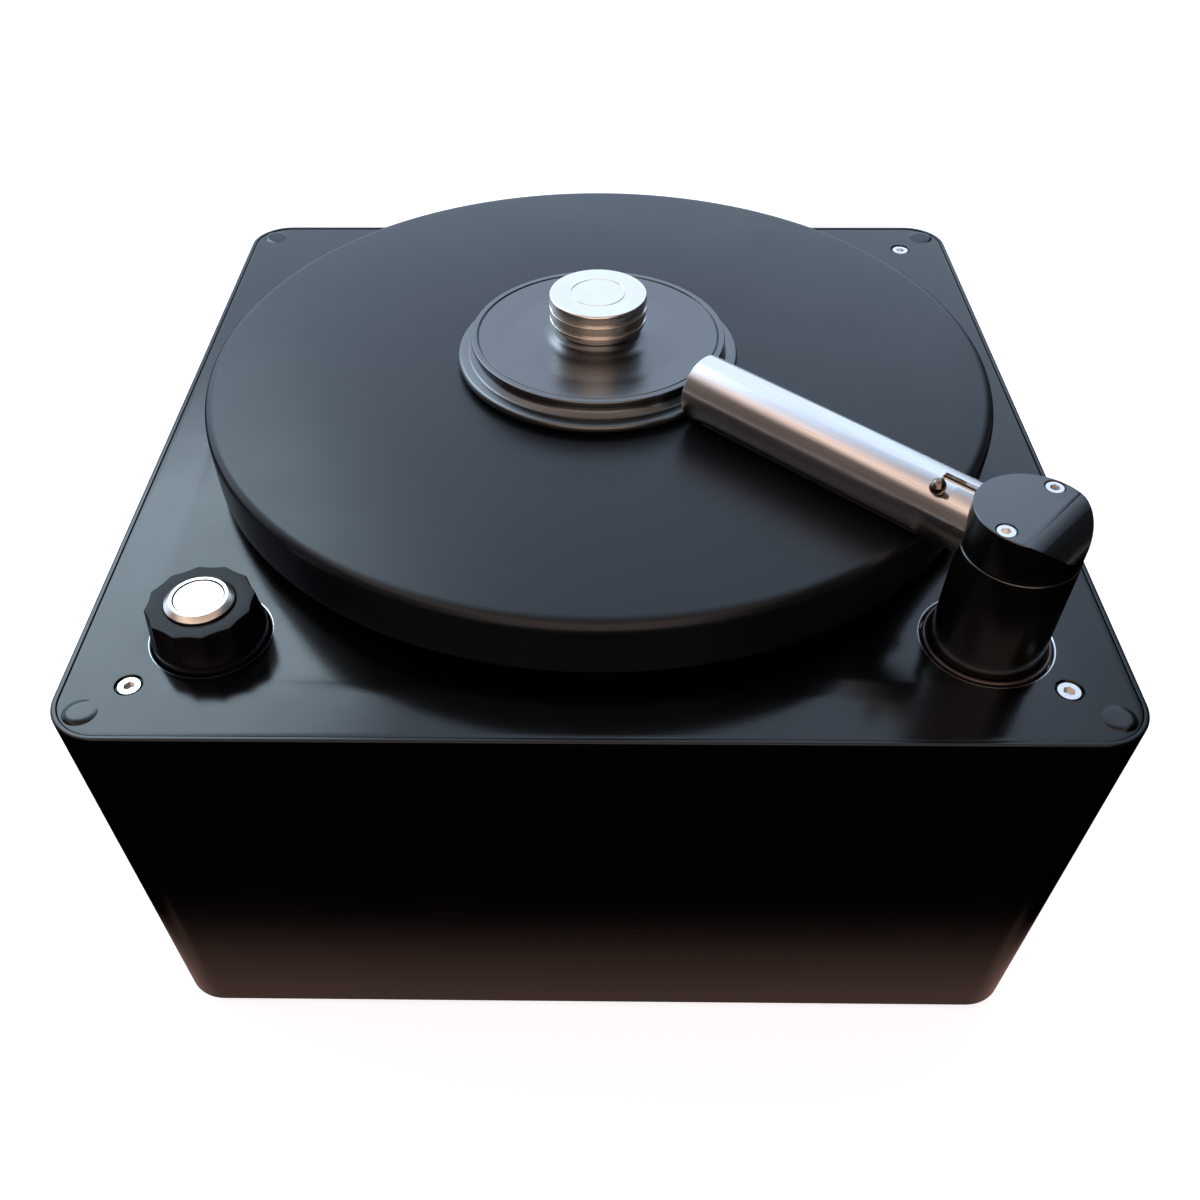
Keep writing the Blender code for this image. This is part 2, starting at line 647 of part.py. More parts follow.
def arm_parts(arm):
    """The post with its split head: the cap clamps the tube's spigot with two screws."""
    edge = 0.0004
    profile = [(POST_BORE, POST_UNDER), (POST_RADIUS - edge, POST_UNDER), (POST_RADIUS, POST_UNDER + edge),
               (POST_RADIUS, HEAD_JOINT - edge), (POST_RADIUS - edge, HEAD_JOINT), (POST_BORE, HEAD_JOINT)]
    post = put("arm_post", turned(profile, ROUND, closed=True), BLACK_ANODISED, parent=arm)
    low = HEAD_JOINT + GAP
    profile = [(0, low), (HEAD_RADIUS - edge, low), (HEAD_RADIUS, low + edge), (HEAD_RADIUS, HEAD_TOP - edge),
               (HEAD_RADIUS - edge, HEAD_TOP), (0, HEAD_TOP)]
    cap = put("arm_cap", turned(profile, ROUND), BLACK_ANODISED, parent=arm)
    carve(cap, head_round_tool())
    carve(cap, rod(POST_BORE, low - 0.001, TUBE_HEIGHT + 0.0078, SMALL))
    for piece in (post, cap):
        carve(piece, along_x(rod(SPIGOT_RADIUS + GAP, 0.002, 0.030, MEDIUM), (0, 0, TUBE_HEIGHT)))
        carve(piece, along_x(rod(TUBE_RADIUS + GAP, TUBE_START - GAP, 0.030, MEDIUM), (0, 0, TUBE_HEIGHT)))
    cap_screws(post, cap, low, arm)
    inner = POST_RADIUS + GAP
    outer = POST_HOLE - 2 * GAP
    middle = (-(outer + inner) / 2, 0, (KEY_UNDER + KEY_TOP) / 2)
    put("arm_key", block((outer - inner, KEY_WIDTH, KEY_TOP - KEY_UNDER), middle), STAINLESS, parent=arm)


def cap_screws(post, cap, low, arm):
    """The two countersunk screws of the head, one at each side of the tube, and their holes."""
    places = [(CAP_SCREW_FORWARD, side * CAP_SCREW_SPREAD) for side in (-1, 1)]
    face = HEAD_TOP - 0.0003
    bore = 0.0017
    head = 0.0033
    over = HEAD_TOP + 0.001
    under = low - 0.001
    sink = [(0, under), (bore, under), (bore, face - 0.0019), (head, face - 0.0001), (head, over), (0, over)]
    carve(cap, group([moved(turned(sink, FINE), (x, y, 0)) for x, y in places]))
    threads = [moved(rod(bore, HEAD_JOINT - 0.009, HEAD_JOINT + 0.001, FINE), (x, y, 0)) for x, y in places]
    carve(post, group(threads))
    screw = countersunk_screw(0.0030, 0.0014, 0.0016, face - HEAD_JOINT + 0.008, 0.0011)
    sides = [(side, (x, y, face)) for side, (x, y) in zip(("far", "near"), places)]
    put_each("arm_cap_screw", screw, STAINLESS, sides, parent=arm)


def head_round_tool():
    """What is taken off the cap behind the tube, so that its back is round across the tube."""
    radius = HEAD_TOP - HEAD_JOINT
    start = -HEAD_ROUND_START
    arc = [(start - radius * math.sin(a), HEAD_JOINT + radius * math.cos(a))
           for a in [math.radians(15 * i) for i in range(1, 7)]]
    behind = -0.025
    over = HEAD_TOP + 0.004
    graze = HEAD_TOP + 0.00001
    outline = [(start, over), (start, graze)] + arc + [(behind, HEAD_JOINT), (behind, over)]
    return moved(prism(outline, -0.025, 0.025), turn=math.radians(90), about="X")


def tube_parts(arm, tube):
    """The suction tube pushes over a spigot and locks on a ball-headed pin in an L-shaped slot."""
    bore = 0.0082
    inner_end = 0.0100
    outer_end = 0.0480
    spigot = [(bore, inner_end), (SPIGOT_RADIUS, inner_end), (SPIGOT_RADIUS, outer_end), (bore, outer_end)]
    spigot = along_x(turned(spigot, MEDIUM, closed=True))
    spigot = put("tube_spigot", spigot, STAINLESS, at=(0, 0, TUBE_HEIGHT), parent=arm)
    ball = 0.0029
    middle = 0.0138
    stem = 0.0014
    stem_angle = math.asin(stem / ball)
    root = 0.0088
    pin = [(0, root), (stem, root), (stem, middle - ball * math.cos(stem_angle))]
    turns = [math.radians(30 * i) for i in range(2, 7)]
    pin += [(ball * math.sin(a), middle - ball * math.cos(a)) for a in turns]
    lean = (-PIN_ANGLE, 0, 0)
    put("bayonet_pin", turned(pin, FINE), STAINLESS, at=(PIN_ALONG, 0, TUBE_HEIGHT), turn=lean, parent=arm)
    hole = moved(rod(0.0017, 0.006, 0.012, TINY), (PIN_ALONG, 0, 0), -PIN_ANGLE, "X")
    carve(spigot, hole)
    bore = TUBE_RADIUS - TUBE_WALL
    outline = [(bore, TUBE_START), (TUBE_RADIUS - 0.0002, TUBE_START), (TUBE_RADIUS, TUBE_START + 0.0002),
               (TUBE_RADIUS, TUBE_END - 0.0003), (TUBE_RADIUS - 0.0003, TUBE_END), (bore, TUBE_END)]
    body = put("suction_tube", along_x(turned(outline, ROUND, closed=True)), STAINLESS, parent=tube)
    half_angle = SLOT_HALF / TUBE_RADIUS
    turn = (SLOT_EXIT_ANGLE - half_angle, PIN_ANGLE + half_angle)
    way_in = (SLOT_EXIT_ANGLE - half_angle * 0.98, SLOT_EXIT_ANGLE + half_angle * 0.98)
    carve(body, sector(0.0085, 0.0135, *turn, PIN_ALONG - SLOT_HALF, PIN_ALONG + SLOT_HALF))
    carve(body, sector(0.0083, 0.0137, *way_in, TUBE_START - 0.002, PIN_ALONG, 2))
    carve(body, block((0.084, 0.0022, 0.006), (0.0765, 0, -TUBE_RADIUS)))
    plug = rod(bore - GAP, TUBE_END - 0.0035, TUBE_END - 0.0005, MEDIUM)
    put("tube_end_plug", along_x(plug), BLACK_PLASTIC, parent=tube)
    inner = TUBE_RADIUS + GAP
    pile = 0.0004
    width = math.radians(20)
    for name, start in (("front", math.radians(153)), ("rear", math.radians(187))):
        strip = sector(inner, inner + pile, start, start + width, 0.0320, 0.1210, 3)
        put(f"wiper_strip_{name}", strip, BLACK_PILE, parent=tube)


def waste_parts():
    """An open tank, a gasket and a lid. The lid's wide neck takes the post, its pipe the vacuum hose."""
    half_x = (POST_X + TANK_CORNER - TANK_LEFT) / 2
    half_y = (TANK_REAR - POST_Y + TANK_CORNER) / 2
    place = (TANK_LEFT + half_x, TANK_REAR - half_y, 0)
    wall = TANK_WALL
    edge = 0.002
    profile = [(edge, TANK_UNDER), (0, TANK_UNDER + edge), (0, TANK_RIM), (wall, TANK_RIM),
               (wall, TANK_UNDER + wall)]
    tank = put("waste_tank", swept(profile, half_x, half_y, TANK_CORNER, 4), WHITE_PLASTIC, at=place)
    port_x = TRAY_X + SPOUT_X + 0.006 - place[0]
    back = math.radians(-90)
    carve(tank, moved(rod(0.0055, -0.006, 0.004, FINE), (port_x, half_y, PORT_Z), back, "X"))
    port = [(0.0042, -wall + 0.0006), (0.0068, -wall + 0.0006), (0.0068, 0.010), (0.0042, 0.010)]
    join(tank, moved(turned(port, FINE, closed=True), (port_x, half_y, PORT_Z), back, "X"))
    gasket = [(0, TANK_RIM + GAP), (0, LID_UNDER - GAP), (wall, LID_UNDER - GAP), (wall, TANK_RIM + GAP)]
    put("tank_gasket", swept(gasket, half_x, half_y, TANK_CORNER, 4, closed=True), RUBBER, at=place)
    chamfer = 0.001
    profile = [(0, LID_UNDER), (0, LID_TOP - chamfer), (chamfer, LID_TOP)]
    lid = put("tank_lid", swept(profile, half_x, half_y, TANK_CORNER, 4), WHITE_PLASTIC, at=place)
    inlet = (POST_X - place[0], POST_Y - place[1], 0)
    outlet = (OUTLET_X - place[0], OUTLET_Y - place[1], 0)
    under = LID_UNDER - 0.003
    over = LID_TOP + 0.003
    inlet_hole = moved(rod(0.0200, under, over, MEDIUM), inlet)
    outlet_hole = moved(rod(0.0100, under, over, SMALL), outlet)
    carve(lid, group([inlet_hole, outlet_hole]))
    low = LID_UNDER + 0.0005
    bore = POST_RADIUS + 0.0007
    outer = 0.0222
    neck_top = 0.1020
    groove = 0.0208
    groove_low = SEAL_HEIGHT - 0.0020
    groove_high = SEAL_HEIGHT + 0.0020
    neck = [(bore, low), (outer, low), (outer, neck_top), (bore, neck_top), (bore, groove_high),
            (groove, groove_high), (groove, groove_low), (bore, groove_low)]
    pipe_top = LID_TOP + 0.009
    pipe = [(HOSE_BORE, low), (HOSE_SEAT, low), (HOSE_SEAT, pipe_top), (HOSE_BORE, pipe_top)]
    neck = moved(turned(neck, MEDIUM, closed=True), inlet)
    pipe = moved(turned(pipe, SMALL, closed=True), outlet)
    join(lid, group([neck, pipe]))
    middle = POST_RADIUS + GAP + 0.0012
    seal = [(middle + 0.0010 * math.cos(a), SEAL_HEIGHT + 0.0016 * math.sin(a))
            for a in [math.radians(90 * i) for i in range(4)]]
    put("neck_seal", turned(seal, MEDIUM, closed=True), RUBBER, at=(POST_X, POST_Y, 0))


def hose(name, start, start_way, end, end_way, seat, pull, outer, wall):
    """An open hose: a straight seat on the pipe at each end and one smooth curve between them."""
    start, end, start_way, end_way = (Vector(v) for v in (start, end, start_way, end_way))
    leave = start + start_way * seat
    arrive = end + end_way * seat
    bend = interpolate_bezier(leave, leave + start_way * pull, arrive + end_way * pull, arrive, 8)
    path = [start] + bend + [end]
    curve = bpy.data.curves.new(name, "CURVE")
    curve.dimensions = "3D"
    curve.fill_mode = "FULL"
    curve.bevel_depth = outer
    curve.bevel_resolution = 2
    line = curve.splines.new("POLY")
    line.points.add(len(path) - 1)
    for point, at in zip(line.points, path):
        point.co = (*at, 1)
    material = bpy.data.materials.new(name)
    material.use_nodes = True
    shader = material.node_tree.nodes["Principled BSDF"]
    shader.inputs["Base Color"].default_value = (*RUBBER[0], 1)
    shader.inputs["Roughness"].default_value = RUBBER[1]
    curve.materials.append(material)
    piece = bpy.data.objects.new(name, curve)
    bpy.context.scene.collection.objects.link(piece)
    solid = piece.modifiers.new("wall", "SOLIDIFY")
    solid.thickness = wall
    solid.offset = -1
    solid.use_even_offset = True


def vacuum_parts():
    """A turbine on a ring mount, with its outlet at the rear vents and its hose from the tank's lid."""
    place = (TURBINE_X, TURBINE_Y, 0)
    flange = 0.063
    flange_top = FAN_UNDER + 0.004
    edge = 0.003
    neck_top = FAN_TOP + 0.009
    inside = FAN_TOP - 0.004
    profile = [(0, FAN_UNDER), (flange, FAN_UNDER), (flange, flange_top), (FAN_RADIUS, flange_top),
               (FAN_RADIUS, FAN_TOP - edge), (FAN_RADIUS - edge, FAN_TOP), (HOSE_SEAT, FAN_TOP),
               (HOSE_SEAT, neck_top), (HOSE_BORE, neck_top), (HOSE_BORE, inside), (0, inside)]
    fan = put("fan_housing", turned(profile, ROUND), ALUMINIUM, at=place)
    outlet_end = HALF - CASE_WALL - GAP - TURBINE_Y
    outlet_x = DUCT_X - TURBINE_X
    outlet_start = 0.040
    middle = (outlet_end + outlet_start) / 2
    join(fan, block((0.052, outlet_end - outlet_start, 0.030), (outlet_x, middle, DUCT_Z)))
    carve(fan, block((0.048, 0.030, 0.026), (outlet_x, outlet_end - 0.014, DUCT_Z)))
    top = FAN_UNDER - GAP
    motor = [(0, 0.0120), (0.018, 0.0120), (0.022, 0.0160), (0.042, 0.0160), (0.045, 0.0190), (0.045, top),
             (0, top)]
    put("vacuum_motor", turned(motor, MEDIUM), IRON, at=place)
    under = top - 0.003
    ring = [(0.047, under), (0.066, under), (0.066, top), (0.047, top)]
    mount = put("turbine_mount", turned(ring, ROUND, closed=True), ZINC, at=place)
    legs = [moved(rod(0.004, FLOOR_TOP + GAP, under + 0.001, TINY), (x, y, 0)) for x, y in ring_of(3, 0.0565)]
    join(mount, group(legs))
    up = (0, 0, 1)
    lid_pipe = (OUTLET_X, OUTLET_Y, LID_TOP + 0.001)
    fan_pipe = (TURBINE_X, TURBINE_Y, FAN_TOP + 0.001)
    hose("vacuum_hose", lid_pipe, up, fan_pipe, up, 0.009, 0.058, 0.0144, 0.0018)
    port_x = TRAY_X + SPOUT_X
    hose("drain_hose", (port_x + 0.006, TANK_REAR + 0.001, PORT_Z), (0, 1, 0),
         (port_x, DRAIN_END, TRAY_Z + SPOUT_Z), (0, -1, 0), 0.010, 0.034, 0.0094, 0.0017)


def rear_parts(rocker_axis, cap_axis):
    """A formed tray behind the rear window holds the inlet, the mains switch and the drain spout."""
    place = (TRAY_X, TRAY_MOUTH, TRAY_Z)
    outwards = (math.radians(-90), 0, 0)
    floor = -TRAY_DEPTH
    wall = TRAY_WALL
    step = WINDOW_INSET - wall
    profile = [(step, floor - wall), (step, -wall), (0, -wall), (0, 0), (WINDOW_INSET, 0), (WINDOW_INSET, floor)]
    tray = swept(profile, TRAY_HALF_X, TRAY_HALF_Z, 0.012, 3)
    tray = put("rear_tray", tray, POWDER_COAT, at=place, turn=outwards)
    deep = floor - 0.003
    near = floor + 0.001
    holes = [moved(swept([(0, deep), (0, near)], 0.01355, 0.01005, 0.0008, 2), (INLET_X, 0, 0)),
             moved(swept([(0, deep), (0, near)], 0.0098, 0.0068, 0.001, 2), (SWITCH_X, 0, 0)),
             moved(rod(0.0073, deep, near, SMALL), (SPOUT_X, -SPOUT_Z, 0))]
    carve(tray, group(holes))
    face = floor + GAP
    inlet = [(0.00225, face - 0.0183), (0.00225, face), (0, face), (0, face + 0.002), (0.0035, face + 0.002),
             (0.0035, face - 0.0163)]
    place = (TRAY_X + INLET_X, TRAY_MOUTH, TRAY_Z)
    inlet = put("mains_inlet", swept(inlet, 0.0155, 0.0120, 0.003, 3), BLACK_PLASTIC, at=place, turn=outwards)
    pins = [block((0.002, 0.004, 0.012), (x, y, face - 0.0108)) for x, y in
            [(-0.007, 0.002), (0.007, 0.002), (0, -0.002)]]
    join(inlet, group(pins))
    housing = [(0.001, face - 0.014), (0.001, face), (0, face), (0, face + 0.0015), (0.0015, face + 0.0015),
               (0.0015, face - 0.012)]
    place = (TRAY_X + SWITCH_X, TRAY_MOUTH, TRAY_Z)
    put("switch_housing", swept(housing, 0.0105, 0.0075, 0.0015, 2), BLACK_PLASTIC, at=place, turn=outwards)
    outline = [(-0.0046, -0.0050), (0.0046, -0.0050), (0.0050, 0.0026), (0, 0.0016), (-0.0050, 0.0026)]
    paddle = moved(prism(outline, -0.0080, 0.0080), turn=math.radians(90), about="Y")
    moved(paddle, turn=math.radians(90), about="X")
    put("rocker", paddle, BLACK_PLASTIC, parent=rocker_axis)
    bore = 0.0042
    seat = 0.0068
    barb = 0.0072
    start = floor - 0.012
    flange_top = face + 0.0018
    tip = face + 0.0138
    spout = [(bore, start), (seat, start), (seat, face), (0.0100, face), (0.0100, flange_top),
             (0.0066, flange_top), (0.0066, tip - 0.0020), (barb, tip - 0.0014), (0.0064, tip), (bore, tip)]
    place = (TRAY_X + SPOUT_X, TRAY_MOUTH, TRAY_Z + SPOUT_Z)
    put("drain_spout", turned(spout, SMALL, closed=True), ZINC, at=place, turn=outwards)
    inner = barb + GAP
    mouth = face + 0.0026
    end = face + 0.0160
    inside = end - 0.0018
    cap = [(0, inside), (inner, inside), (inner, mouth), (0.0098, mouth), (0.0098, mouth + 0.002),
           (0.0090, mouth + 0.003), (0.0090, end - 0.0008), (0.0082, end), (0, end)]
    put("drain_cap", turned(cap, SMALL), RUBBER, turn=outwards, parent=cap_axis)


def power_supply():
    """A closed supply in a folded cover, with feet that stand on the floor plate."""
    low = FLOOR_TOP + GAP
    profile = [(0.002, low), (0, low + 0.002), (0, low + 0.034), (0.002, low + 0.036)]
    supply = swept(profile, 0.044, 0.030, 0.004, 2)
    supply = put("power_supply", supply, ALUMINIUM, at=(SUPPLY_X, SUPPLY_Y, 0))
    join(supply, swept([(0, low), (0, low + 0.0015)], 0.050, 0.022, 0.004, 2))
    slots = [block((0.0025, 0.040, 0.008), (-0.024 + 0.012 * i, 0, low + 0.036)) for i in range(5)]
    carve(supply, group(slots))


def build():
    clear_scene()
    case_shell()
    top_plate()
    bottom_plate()
    case_fasteners()
    bearing()
    platter_motor()
    spin = axis("platter_spin_axis", (0, 0, 0))
    platter_parts(spin)
    clamp = axis("clamp_lift_axis", (0, 0, 0), parent=spin)
    clamp_knob_axis = axis("clamp_knob_axis", (0, 0, 0), parent=clamp)
    record_clamp(clamp, clamp_knob_axis)
    knob = axis("knob_turn_axis", (KNOB_X, KNOB_Y, 0))
    button = axis("button_press_axis", (0, 0, 0), parent=knob)
    controls(knob, button)
    post_support()
    swing = axis("arm_swing_axis", (POST_X, POST_Y, 0), (0, 0, ARM_AZIMUTH))
    arm_sleeve(swing)
    lift = axis("arm_lift_axis", (0, 0, 0), parent=swing)
    arm_parts(lift)
    twist = axis("tube_twist_axis", (0, 0, TUBE_HEIGHT), parent=lift)
    tube_parts(lift, twist)
    waste_parts()
    vacuum_parts()
    pivot = (TRAY_X + SWITCH_X, TRAY_MOUTH - TRAY_DEPTH + GAP, TRAY_Z)
    rocker_axis = axis("rocker_axis", pivot, (ROCKER_TILT, 0, 0))
    cap_axis = axis("drain_cap_axis", (TRAY_X + SPOUT_X, TRAY_MOUTH, TRAY_Z + SPOUT_Z))
    rear_parts(rocker_axis, cap_axis)
    power_supply()


build()
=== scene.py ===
# %% [markdown]
# # A record cleaning machine
# A square black case carries a turning platter, a clamp that screws down on a record, a control knob and
# a suction arm that swings over the record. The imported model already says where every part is. This
# lesson dresses it: smooth shapes where the model has flat facets, a real finish on every part, a camera
# and plain light.

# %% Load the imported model
import json
import math

import bmesh
import bpy
from mathutils import Matrix, Vector


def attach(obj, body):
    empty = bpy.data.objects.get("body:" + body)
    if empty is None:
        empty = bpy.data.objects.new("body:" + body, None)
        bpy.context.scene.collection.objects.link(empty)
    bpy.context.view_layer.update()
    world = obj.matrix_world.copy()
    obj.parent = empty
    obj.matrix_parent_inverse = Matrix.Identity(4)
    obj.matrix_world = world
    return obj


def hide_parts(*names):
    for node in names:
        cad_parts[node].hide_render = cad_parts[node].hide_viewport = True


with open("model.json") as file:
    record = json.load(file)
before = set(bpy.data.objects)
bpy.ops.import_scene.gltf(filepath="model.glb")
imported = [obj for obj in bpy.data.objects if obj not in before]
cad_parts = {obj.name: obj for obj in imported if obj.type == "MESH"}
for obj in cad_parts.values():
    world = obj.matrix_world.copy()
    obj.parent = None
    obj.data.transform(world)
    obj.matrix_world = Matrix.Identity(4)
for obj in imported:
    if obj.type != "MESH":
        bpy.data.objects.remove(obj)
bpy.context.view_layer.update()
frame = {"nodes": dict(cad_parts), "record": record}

print("nodes in the packed model:", len(frame["nodes"]))

# %% [markdown]
# ## The camera
# The photograph was taken from in front and well above, with the lens close to the machine, so the case
# narrows towards its foot. A camera could be placed by eye, but here the corners of the case and the
# circles of the platter were used to solve for it, which gives the place, three turns, the focal length
# and a small shift of the frame.

# %% Camera
FRAME_PIXELS = 1200
FOCAL_PIXELS = 1104.35
MIDDLE_X, MIDDLE_Y = 576.35, 725.28
CAMERA_AT = Vector((-0.00207, -0.38982, 0.42950))
YAW, PITCH, ROLL = -0.0187, 0.8523, 0.0081


def photo_camera():
    """A camera at the photograph's place, turned by yaw, pitch and roll."""
    ahead = Vector((math.sin(YAW), math.cos(YAW), 0))
    across = Vector((math.cos(YAW), -math.sin(YAW), 0))
    upright = Vector((0, 0, 1))
    look = ahead * math.cos(PITCH) - upright * math.sin(PITCH)
    down = -(ahead * math.sin(PITCH) + upright * math.cos(PITCH))
    right = across * math.cos(ROLL) + down * math.sin(ROLL)
    down = down * math.cos(ROLL) - across * math.sin(ROLL)
    data = bpy.data.cameras.new("camera")
    data.sensor_width = 36
    data.lens = 36 * FOCAL_PIXELS / FRAME_PIXELS
    data.shift_x = (FRAME_PIXELS / 2 - MIDDLE_X) / FRAME_PIXELS
    data.shift_y = (MIDDLE_Y - FRAME_PIXELS / 2) / FRAME_PIXELS
    data.clip_start = 0.01
    camera = bpy.data.objects.new("camera", data)
    turn = Matrix((right, -down, -look)).transposed().to_4x4()
    camera.matrix_world = Matrix.Translation(CAMERA_AT) @ turn
    bpy.context.scene.collection.objects.link(camera)
    bpy.context.scene.camera = camera
    return camera


camera = photo_camera()
print("lens", round(camera.data.lens, 2), "mm")

# %% [markdown]
# ## Nodes and colours
# Materials, light and Geometry Nodes are all node trees, so one small function adds a node to any of
# them, sets its options and fills or links its inputs. A node given as an input is linked by its first
# output, and a list makes several links at one socket. Colours are written as they look on a screen, and
# one function turns them into the linear values that a shader wants.

# %% Helpers for nodes and colours
def add_node(tree, kind, inputs=None, **options):
    """Adds one node, sets its options, and fills or links its inputs."""
    made = tree.nodes.new(kind)
    for option, value in options.items():
        setattr(made, option, value)
    for socket, value in (inputs or {}).items():
        for part in value if isinstance(value, list) else [value]:
            if isinstance(part, bpy.types.Node):
                part = part.outputs[0]
            if isinstance(part, bpy.types.NodeSocket):
                tree.links.new(part, made.inputs[socket])
            else:
                made.inputs[socket].default_value = part
    return made


def linear(code):
    """The linear colour of an sRGB hex code."""
    parts = [int(code[i:i + 2], 16) / 255 for i in (1, 3, 5)]
    return tuple(p / 12.92 if p <= 0.04045 else ((p + 0.055) / 1.055) ** 2.4 for p in parts) + (1.0,)


# %% [markdown]
# ## The studio
# The machine stood in a room with a pale, cool window behind it and a warm, dimmer room in front. A black
# object is seen almost only by what it mirrors, so the world is made of those two halves. In front it is
# lit in a middle band and overhead, and its right side stays dark. Each of these is a soft fade, and one
# loop makes them all. One soft lamp is the window itself, and it draws the brighter sheen along the left
# of the top plate.

# %% World and lamp
COOL_WINDOW = "#CFE4FF"
WARM_ROOM = "#DDC6B9"
ROOM_LEVEL = 1.45


def studio_world():
    """White for the camera; for everything else cool behind, warm in front and dark to the right."""
    world = bpy.data.worlds.new("studio")
    world.use_nodes = True
    tree = world.node_tree
    tree.nodes.clear()
    way = add_node(tree, "ShaderNodeTexCoord").outputs["Generated"]
    x, y, z = add_node(tree, "ShaderNodeSeparateXYZ", {0: way}).outputs
    aside = add_node(tree, "ShaderNodeMath", {0: x}, operation="ABSOLUTE")
    fades = {}
    for name, value, start, end, low, high in [
            ("behind", y, -0.05, 0.40, 0.0, 1.0), ("middle", aside, 0.36, 0.66, 1.0, 0.10),
            ("overhead", z, 0.52, 0.76, 0.0, 1.0), ("right", x, 0.37, 0.58, 1.0, 0.05),
            ("zenith", z, 0.80, 0.97, 1.0, 0.45)]:
        limits = {"Value": value, "From Min": start, "From Max": end, "To Min": low, "To Max": high}
        fades[name] = add_node(tree, "ShaderNodeMapRange", limits, interpolation_type="SMOOTHSTEP")
    level = fades["middle"]
    for operation, name in [("MAXIMUM", "overhead"), ("MAXIMUM", "behind"), ("MULTIPLY", "right"),
                            ("MULTIPLY", "zenith")]:
        level = add_node(tree, "ShaderNodeMath", {0: level, 1: fades[name]}, operation=operation)
    level = add_node(tree, "ShaderNodeMath", {0: level, 1: ROOM_LEVEL}, operation="MULTIPLY")
    halves = add_node(tree, "ShaderNodeMix", {"Factor": fades["behind"], "A": linear(WARM_ROOM),
                                              "B": linear(COOL_WINDOW)}, data_type="RGBA").outputs["Result"]
    room = add_node(tree, "ShaderNodeBackground", {"Color": halves, "Strength": level})
    white = add_node(tree, "ShaderNodeBackground", {"Color": (1, 1, 1, 1), "Strength": 1.0})
    seen = add_node(tree, "ShaderNodeLightPath").outputs["Is Camera Ray"]
    mix = add_node(tree, "ShaderNodeMixShader", {0: seen, 1: room, 2: white})
    add_node(tree, "ShaderNodeOutputWorld", {"Surface": mix})
    bpy.context.scene.world = world


def window_lamp(name, at, aim, width, height, power, colour):
    """A soft rectangular lamp that looks at a point and stays out of the picture."""
    data = bpy.data.lights.new(name, "AREA")
    data.shape = "RECTANGLE"
    data.size = width
    data.size_y = height
    data.energy = power
    data.color = linear(colour)[:3]
    lamp = bpy.data.objects.new(name, data)
    lamp.location = at
    lamp.rotation_euler = (Vector(aim) - Vector(at)).to_track_quat("-Z", "Y").to_euler()
    lamp.visible_camera = False
    bpy.context.scene.collection.objects.link(lamp)


bpy.context.scene.view_settings.view_transform = "Standard"
studio_world()
window_lamp("window_lamp", (-0.82, 0.98, 1.28), (-0.05, 0, 0.17), 0.70, 0.62, 5.2, "#D8F0FC")
print("world and lamp are set")

# %% [markdown]
# ## The floor
# The floor is pale and plain. Its own shading keeps the machine's soft shadow, and a little glow that the
# camera, mirrors and glass see lifts the rest of it to clean white. The machine's walls are black because
# they mirror something dark: photographers lay a dark card in front of a black product, and here such a
# card lies on the floor, where only reflections see it. Close to the machine the card glows a little warm,
# a painted reflection of a wooden table that the foot of the walls mirrors.

# %% Floor and card
FLOOR_HALF = 4.0
FLOOR_GLOW = 0.75
CARD_HALF = 3.0
CARD_HEIGHT = 0.0004
CARD_GLOW = 0.42
CARD_GLOW_REACH = 0.045
CORNERS = ((-1, -1), (1, -1), (1, 1), (-1, 1))
CASE_HALF = 0.1725


def flat_square(name, half, height):
    """A plain square sheet, for the floor and the card."""
    mesh = bmesh.new()
    mesh.faces.new([mesh.verts.new((x * half, y * half, height)) for x, y in CORNERS])
    data = bpy.data.meshes.new(name)
    mesh.to_mesh(data)
    mesh.free()
    sheet = bpy.data.objects.new(name, data)
    bpy.context.scene.collection.objects.link(sheet)
    return sheet


def bare_material(name):
    """A new material with nothing in its tree."""
    material = bpy.data.materials.new(name)
    material.use_nodes = True
    material.node_tree.nodes.clear()
    return material, material.node_tree


def floor_material():
    """Pale and matt, with a glow that the camera, mirrors and glass see."""
    material, tree = bare_material("pale_floor")
    matt = add_node(tree, "ShaderNodeBsdfDiffuse", {"Color": linear("#E6EEFA")})
    ray = add_node(tree, "ShaderNodeLightPath").outputs
    seen = ray["Is Camera Ray"]
    for other in ("Is Glossy Ray", "Is Transmission Ray"):
        seen = add_node(tree, "ShaderNodeMath", {0: seen, 1: ray[other]}, operation="MAXIMUM")
    glow = add_node(tree, "ShaderNodeMath", {0: seen, 1: FLOOR_GLOW}, operation="MULTIPLY")
    light = add_node(tree, "ShaderNodeEmission", {"Color": (1, 1, 1, 1), "Strength": glow})
    both = add_node(tree, "ShaderNodeAddShader", {0: matt, 1: light})
    add_node(tree, "ShaderNodeOutputMaterial", {"Surface": both})
    return material


def card_material():
    """Dark, with a warm glow, a painted table reflection, that fades within a few centimetres of the case."""
    material, tree = bare_material("dark_card")
    x, y, _ = add_node(tree, "ShaderNodeSeparateXYZ",
                       {0: add_node(tree, "ShaderNodeTexCoord").outputs["Object"]}).outputs
    reach = [add_node(tree, "ShaderNodeMath", {0: side}, operation="ABSOLUTE") for side in (x, y)]
    far = add_node(tree, "ShaderNodeMath", {0: reach[0], 1: reach[1]}, operation="MAXIMUM")
    fade = add_node(tree, "ShaderNodeMapRange", {"Value": far, "From Min": CASE_HALF,
                                                 "From Max": CASE_HALF + CARD_GLOW_REACH, "To Min": 1.0,
                                                 "To Max": 0.0}, interpolation_type="SMOOTHSTEP")
    strength = add_node(tree, "ShaderNodeMath", {0: fade, 1: CARD_GLOW}, operation="MULTIPLY")
    # Painted reflection: a warm glow close to the case, which the lower walls mirror as a wooden table.
    light = add_node(tree, "ShaderNodeEmission", {"Color": linear("#E8B7A6"), "Strength": strength})
    add_node(tree, "ShaderNodeOutputMaterial", {"Surface": light})
    return material


